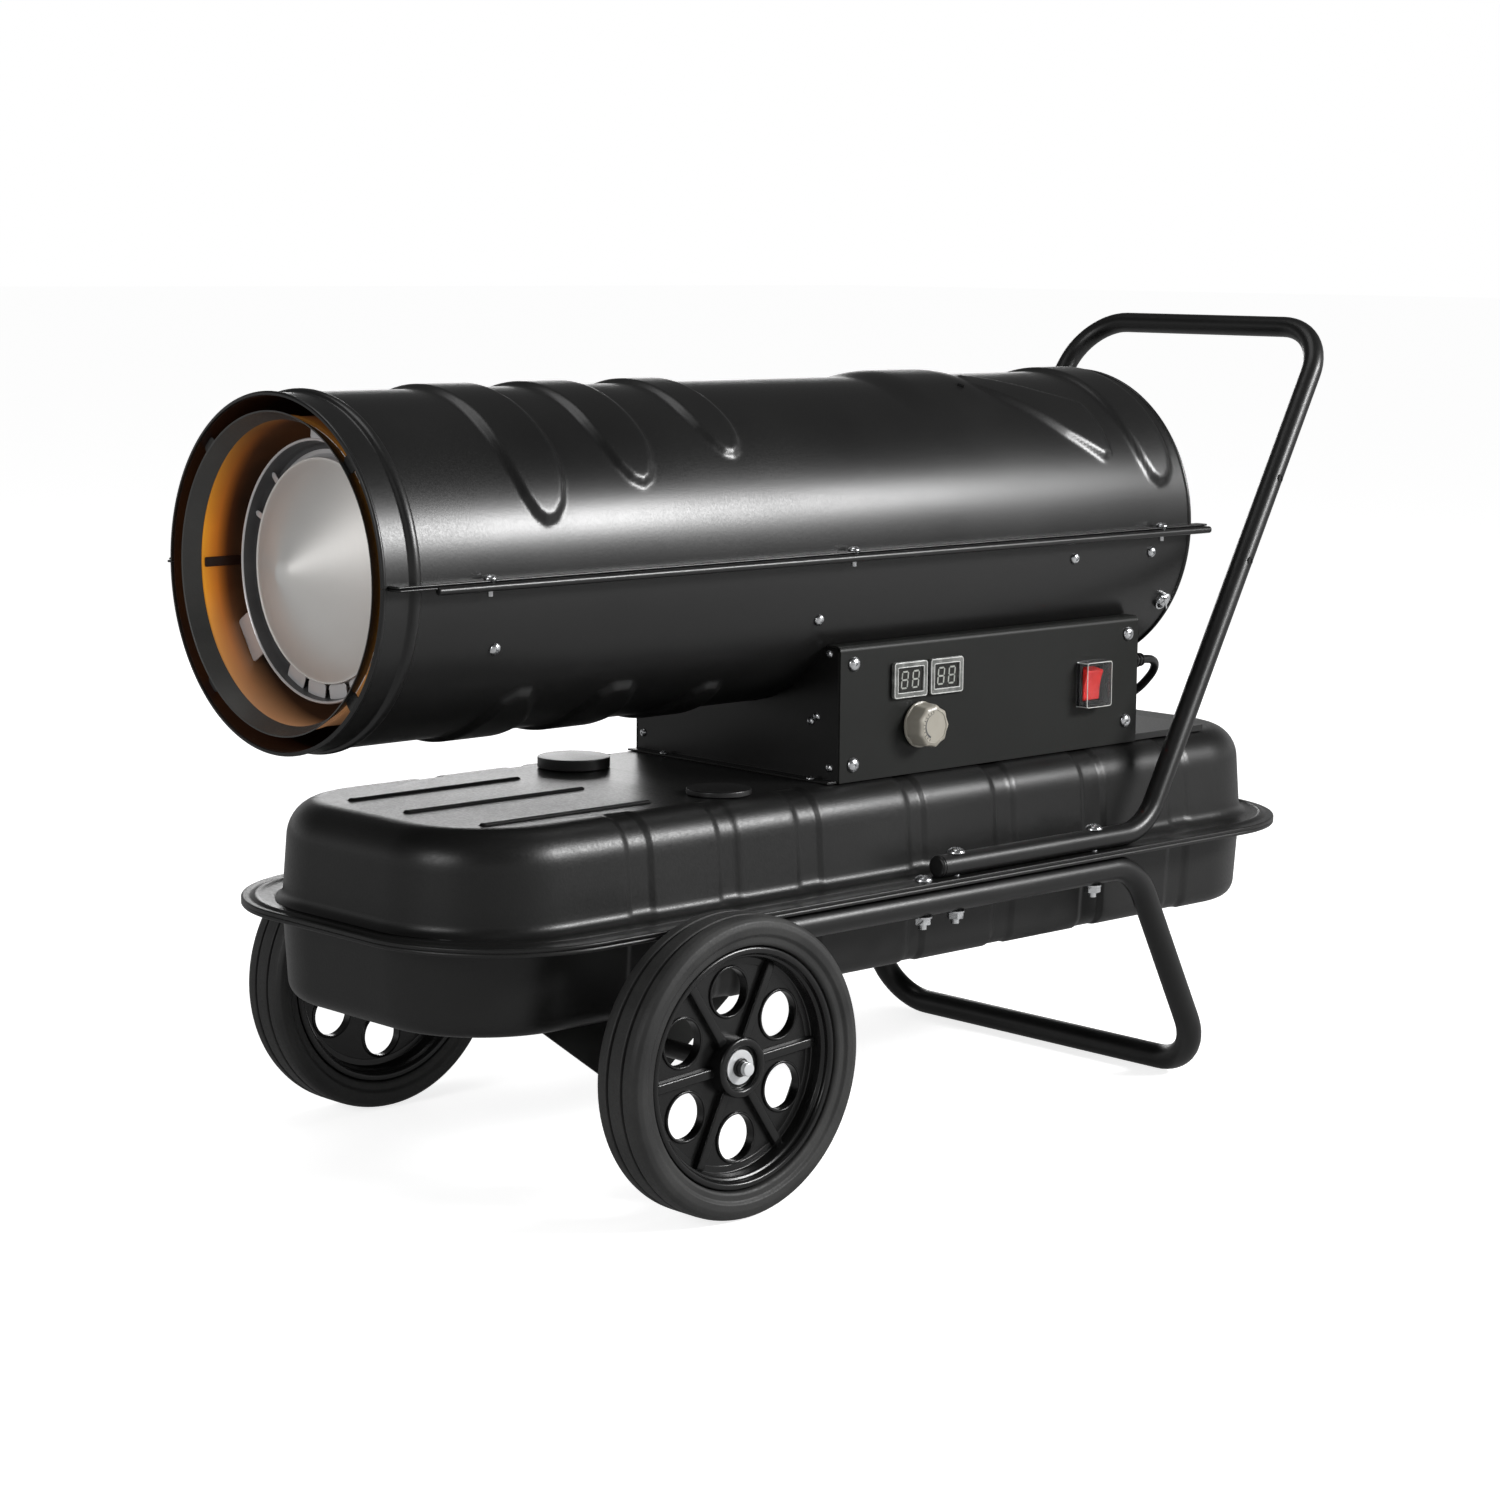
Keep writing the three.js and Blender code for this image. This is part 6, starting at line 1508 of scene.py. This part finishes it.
# Rings and spokes of wire, laid out by geometry nodes about the z axis and then stood up across the barrel.
def guardTree():
    tree, given, taken = nodeTree("wireGuard", {"Rings": 12, "Spokes": 6, "Hub Radius": 0.012,
                                                "Ring Pitch": 0.0088, "Wire": 0.00125})
    size = given.outputs
    index = node(tree, "GeometryNodeInputIndex").outputs[0]
    spots = node(tree, "GeometryNodePoints", Count=size["Rings"])
    circle = node(tree, "GeometryNodeCurvePrimitiveCircle", Resolution=96, Radius=1.0)
    reach = mathOf(tree, "ADD", size["Hub Radius"], mathOf(tree, "MULTIPLY", index, size["Ring Pitch"]))
    rings = node(tree, "GeometryNodeInstanceOnPoints", Points=spots.outputs[0], Instance=circle.outputs[0],
                 Scale=vectorOf(tree, reach, reach, reach))
    outer = mathOf(tree, "ADD", size["Hub Radius"],
                   mathOf(tree, "MULTIPLY", mathOf(tree, "SUBTRACT", size["Rings"], 1.0), size["Ring Pitch"]))
    line = node(tree, "GeometryNodeCurvePrimitiveLine", Start=vectorOf(tree, size["Hub Radius"], 0.0, 0.0),
                End=vectorOf(tree, outer, 0.0, 0.0))
    ends = node(tree, "GeometryNodePoints", Count=size["Spokes"])
    share = mathOf(tree, "DIVIDE", mathOf(tree, "MULTIPLY", index, 2 * math.pi), size["Spokes"])
    spokes = node(tree, "GeometryNodeInstanceOnPoints", Points=ends.outputs[0], Instance=line.outputs[0],
                  Rotation=vectorOf(tree, 0.0, 0.0, share))
    dropped = node(tree, "GeometryNodeTransform", Geometry=spokes.outputs[0],
                   Translation=vectorOf(tree, 0.0, 0.0, mathOf(tree, "MULTIPLY", size["Wire"], 1.6)))
    wires = node(tree, "GeometryNodeJoinGeometry")
    for part in (rings, dropped):
        tree.links.new(part.outputs[0], wires.inputs[0])
    whole = node(tree, "GeometryNodeRealizeInstances", Geometry=wires.outputs[0])
    thin = node(tree, "GeometryNodeCurvePrimitiveCircle", Resolution=10, Radius=size["Wire"])
    swept = node(tree, "GeometryNodeCurveToMesh", Curve=whole.outputs[0], Profile_Curve=thin.outputs[0],
                 Fill_Caps=True)
    return closeTree(tree, swept.outputs[0], given, taken)


def buildGuard():
    start = bpy.data.meshes.new("guardStart")
    start.from_pydata([(0, 0, 0)], [], [])
    data = grown("rearGuard", guardTree(), start, {"Rings": 12, "Ring Pitch": 0.00905}, "tubePaint")
    place = Matrix.Translation(toFrame @ Vector((0, 539.4, barrel["axis"])))
    data.transform(place @ Matrix.Rotation(-math.pi / 2, 4, "X"))
    addPiece("rearGuard", data, "tubePaint", stands=("fan_guard",), crease=60)


def buildMotor():
    mesh = bmesh.new()
    turn(mesh, rounded([(0, 428), (13, 428), (13, 425), (30, 425), (43, 431), (44.6, 432), (44.6, 437),
                        (43.4, 438), (43.4, 487), (44.6, 488), (44.6, 493), (43, 494), (34, 500), (0, 500)],
                       1.2, 3), "y", axisCentre, 64)
    addPiece("motorCase", mesh, "castMetal", stands=("fan_motor",))
    mesh = bmesh.new()
    turn(mesh, rounded([(0, 500.3), (34, 500.3), (34, 514), (32.6, 515), (34, 516), (34, 520), (28, 520.3),
                        (28, 526), (25, 528.3), (9, 528.3), (8, 527), (0, 527)], 1.0, 3), "y", axisCentre, 64)
    turn(mesh, rounded([(0, -44), (2.6, -44), (3.2, -42), (2.4, -40), (2.4, -32), (0, -32)], 0.5, 2), "z",
         (0, 510.3, barrel["axis"]), 20)
    addPiece("pumpCase", mesh, "castMetal", stands=("air_pump",))


def buildHoses():
    axis = barrel["axis"]
    floor = axis - 112.8 + 3 + 0.3 + 3.5
    barbY = 320.3 + 14 + 3
    air = [(0, 510.3, axis - 44.3), (0, 510.3, floor), (0, barbY, floor), (0, barbY, axis - 32.3)]
    shelf = (axis - 32 + floor) / 2
    fuel = [(20, 365, 290.6), (20, 365, shelf), (20, barbY, shelf), (20, barbY, axis - 32.3)]
    for name, nodeName, corners in (("airHose", "air_hose", air), ("fuelHose", "fuel_hose", fuel)):
        mesh = bmesh.new()
        capped(mesh, crossLoops(bentPath(corners, 13, 8), 3.4, 20))
        addPiece(name, mesh, "cordRubber", stands=(nodeName,), crease=50)


buildFan()
buildGuard()
buildMotor()
buildHoses()
print("fan and motor built")

# The CAD pieces that stay, with their finishes.
keptFinishes = {"burner_head": "castMetal", "spark_plug": "ceramic", "photocell": "blackPlastic",
                "motor_bracket": "panelPaint", "motor_shaft": "zinc", "thermostat": "castMetal",
                "control_board": "boardGreen", "ignition_transformer": "blackPlastic", "fuel_filter": "brass",
                }
for name, finish in keptFinishes.items():
    for slotOf in cadNodes[name].material_slots:
        slotOf.link = "OBJECT"
        slotOf.material = finishes[finish]

studio = {"fillLevel": 0.25, "horizon": 0.62, "ceiling": 0.08, "floorGlow": 0.8, "mirrored": 0.16,
          "floorShade": 0.72, "mirroredShade": 0.3}


def isSeen(tree):
    path = tree.nodes.new("ShaderNodeLightPath")
    direct = mathOf(tree, "MAXIMUM", path.outputs["Is Camera Ray"], path.outputs["Is Glossy Ray"])
    return path, mathOf(tree, "MAXIMUM", direct, path.outputs["Is Transmission Ray"])


def buildWorld():
    world.use_nodes = True
    tree = world.node_tree
    tree.nodes.clear()
    path, seen = isSeen(tree)
    place = tree.nodes.new("ShaderNodeTexCoord")
    height = node(tree, "ShaderNodeSeparateXYZ", Vector=place.outputs["Generated"]).outputs["Z"]
    ceiling = ranged(tree, height, studio["horizon"], studio["ceiling"], 0.1, 0.36)
    glossy = node(tree, "ShaderNodeMix", i0=path.outputs["Is Glossy Ray"], i2=1.0, i3=ceiling)
    level = node(tree, "ShaderNodeMix", i0=seen, i2=studio["fillLevel"], i3=glossy.outputs[0])
    light = node(tree, "ShaderNodeBackground", Color=(1, 1, 1, 1), Strength=level.outputs[0])
    out = tree.nodes.new("ShaderNodeOutputWorld")
    link(tree, light.outputs[0], out.inputs["Surface"])


def buildFloor():
    data = bpy.data.meshes.new("floor")
    data.from_pydata([(-40, -40, 0), (40, -40, 0), (40, 40, 0), (-40, 40, 0)], [], [(0, 1, 2, 3)])
    floor = inScene("floor", data)
    floor.location = (0, 0, -0.0005)
    material = bpy.data.materials.new("paleFloor")
    material.use_nodes = True
    tree = material.node_tree
    tree.nodes.clear()
    path, seen = isSeen(tree)
    shade = node(tree, "ShaderNodeMix", i0=path.outputs["Is Glossy Ray"], i2=studio["floorShade"],
                 i3=studio["mirroredShade"])
    matt = node(tree, "ShaderNodeBsdfDiffuse")
    link(tree, shade.outputs[0], matt.inputs["Color"])
    mirrored = node(tree, "ShaderNodeMix", i0=path.outputs["Is Glossy Ray"], i2=studio["floorGlow"],
                    i3=studio["mirrored"])
    strength = mathOf(tree, "MULTIPLY", seen, mirrored.outputs[0])
    glow = node(tree, "ShaderNodeEmission", Color=(1, 1, 1, 1), Strength=strength)
    both = node(tree, "ShaderNodeAddShader", i0=matt.outputs[0], i1=glow.outputs[0])
    out = tree.nodes.new("ShaderNodeOutputMaterial")
    link(tree, both.outputs[0], out.inputs["Surface"])
    data.materials.append(material)


# Soft boxes: place and aim in metres, size across and up, and strength in watts.
softBoxes = {
    "rightBox": ((2.0, 1.4, 1.44), (0.1, 0.0, 0.42), (1.1, 0.5), 84),
    "frontBox": ((0.4, -3.2, 1.5), (0, -0.3, 0.4), (1.3, 1.0), 26),
    "leftBox": ((-2.4, 1.9, 0.75), (0, 0, 0.3), (1.4, 0.6), 10),
    "topBox": ((-0.4, -0.3, 2.8), (0, 0, 0.3), (1.4, 1.4), 12),
}


def buildLamps():
    for name, (place, aim, size, power) in softBoxes.items():
        data = bpy.data.lights.new(name, "AREA")
        data.shape, data.size, data.size_y, data.energy = "RECTANGLE", size[0], size[1], power
        lamp = inScene(name, data)
        lamp.location = place
        lamp.rotation_euler = (Vector(aim) - Vector(place)).to_track_quat("-Z", "Y").to_euler()
        lamp.visible_camera = False


buildWorld()
buildFloor()
buildLamps()
print("studio lit")
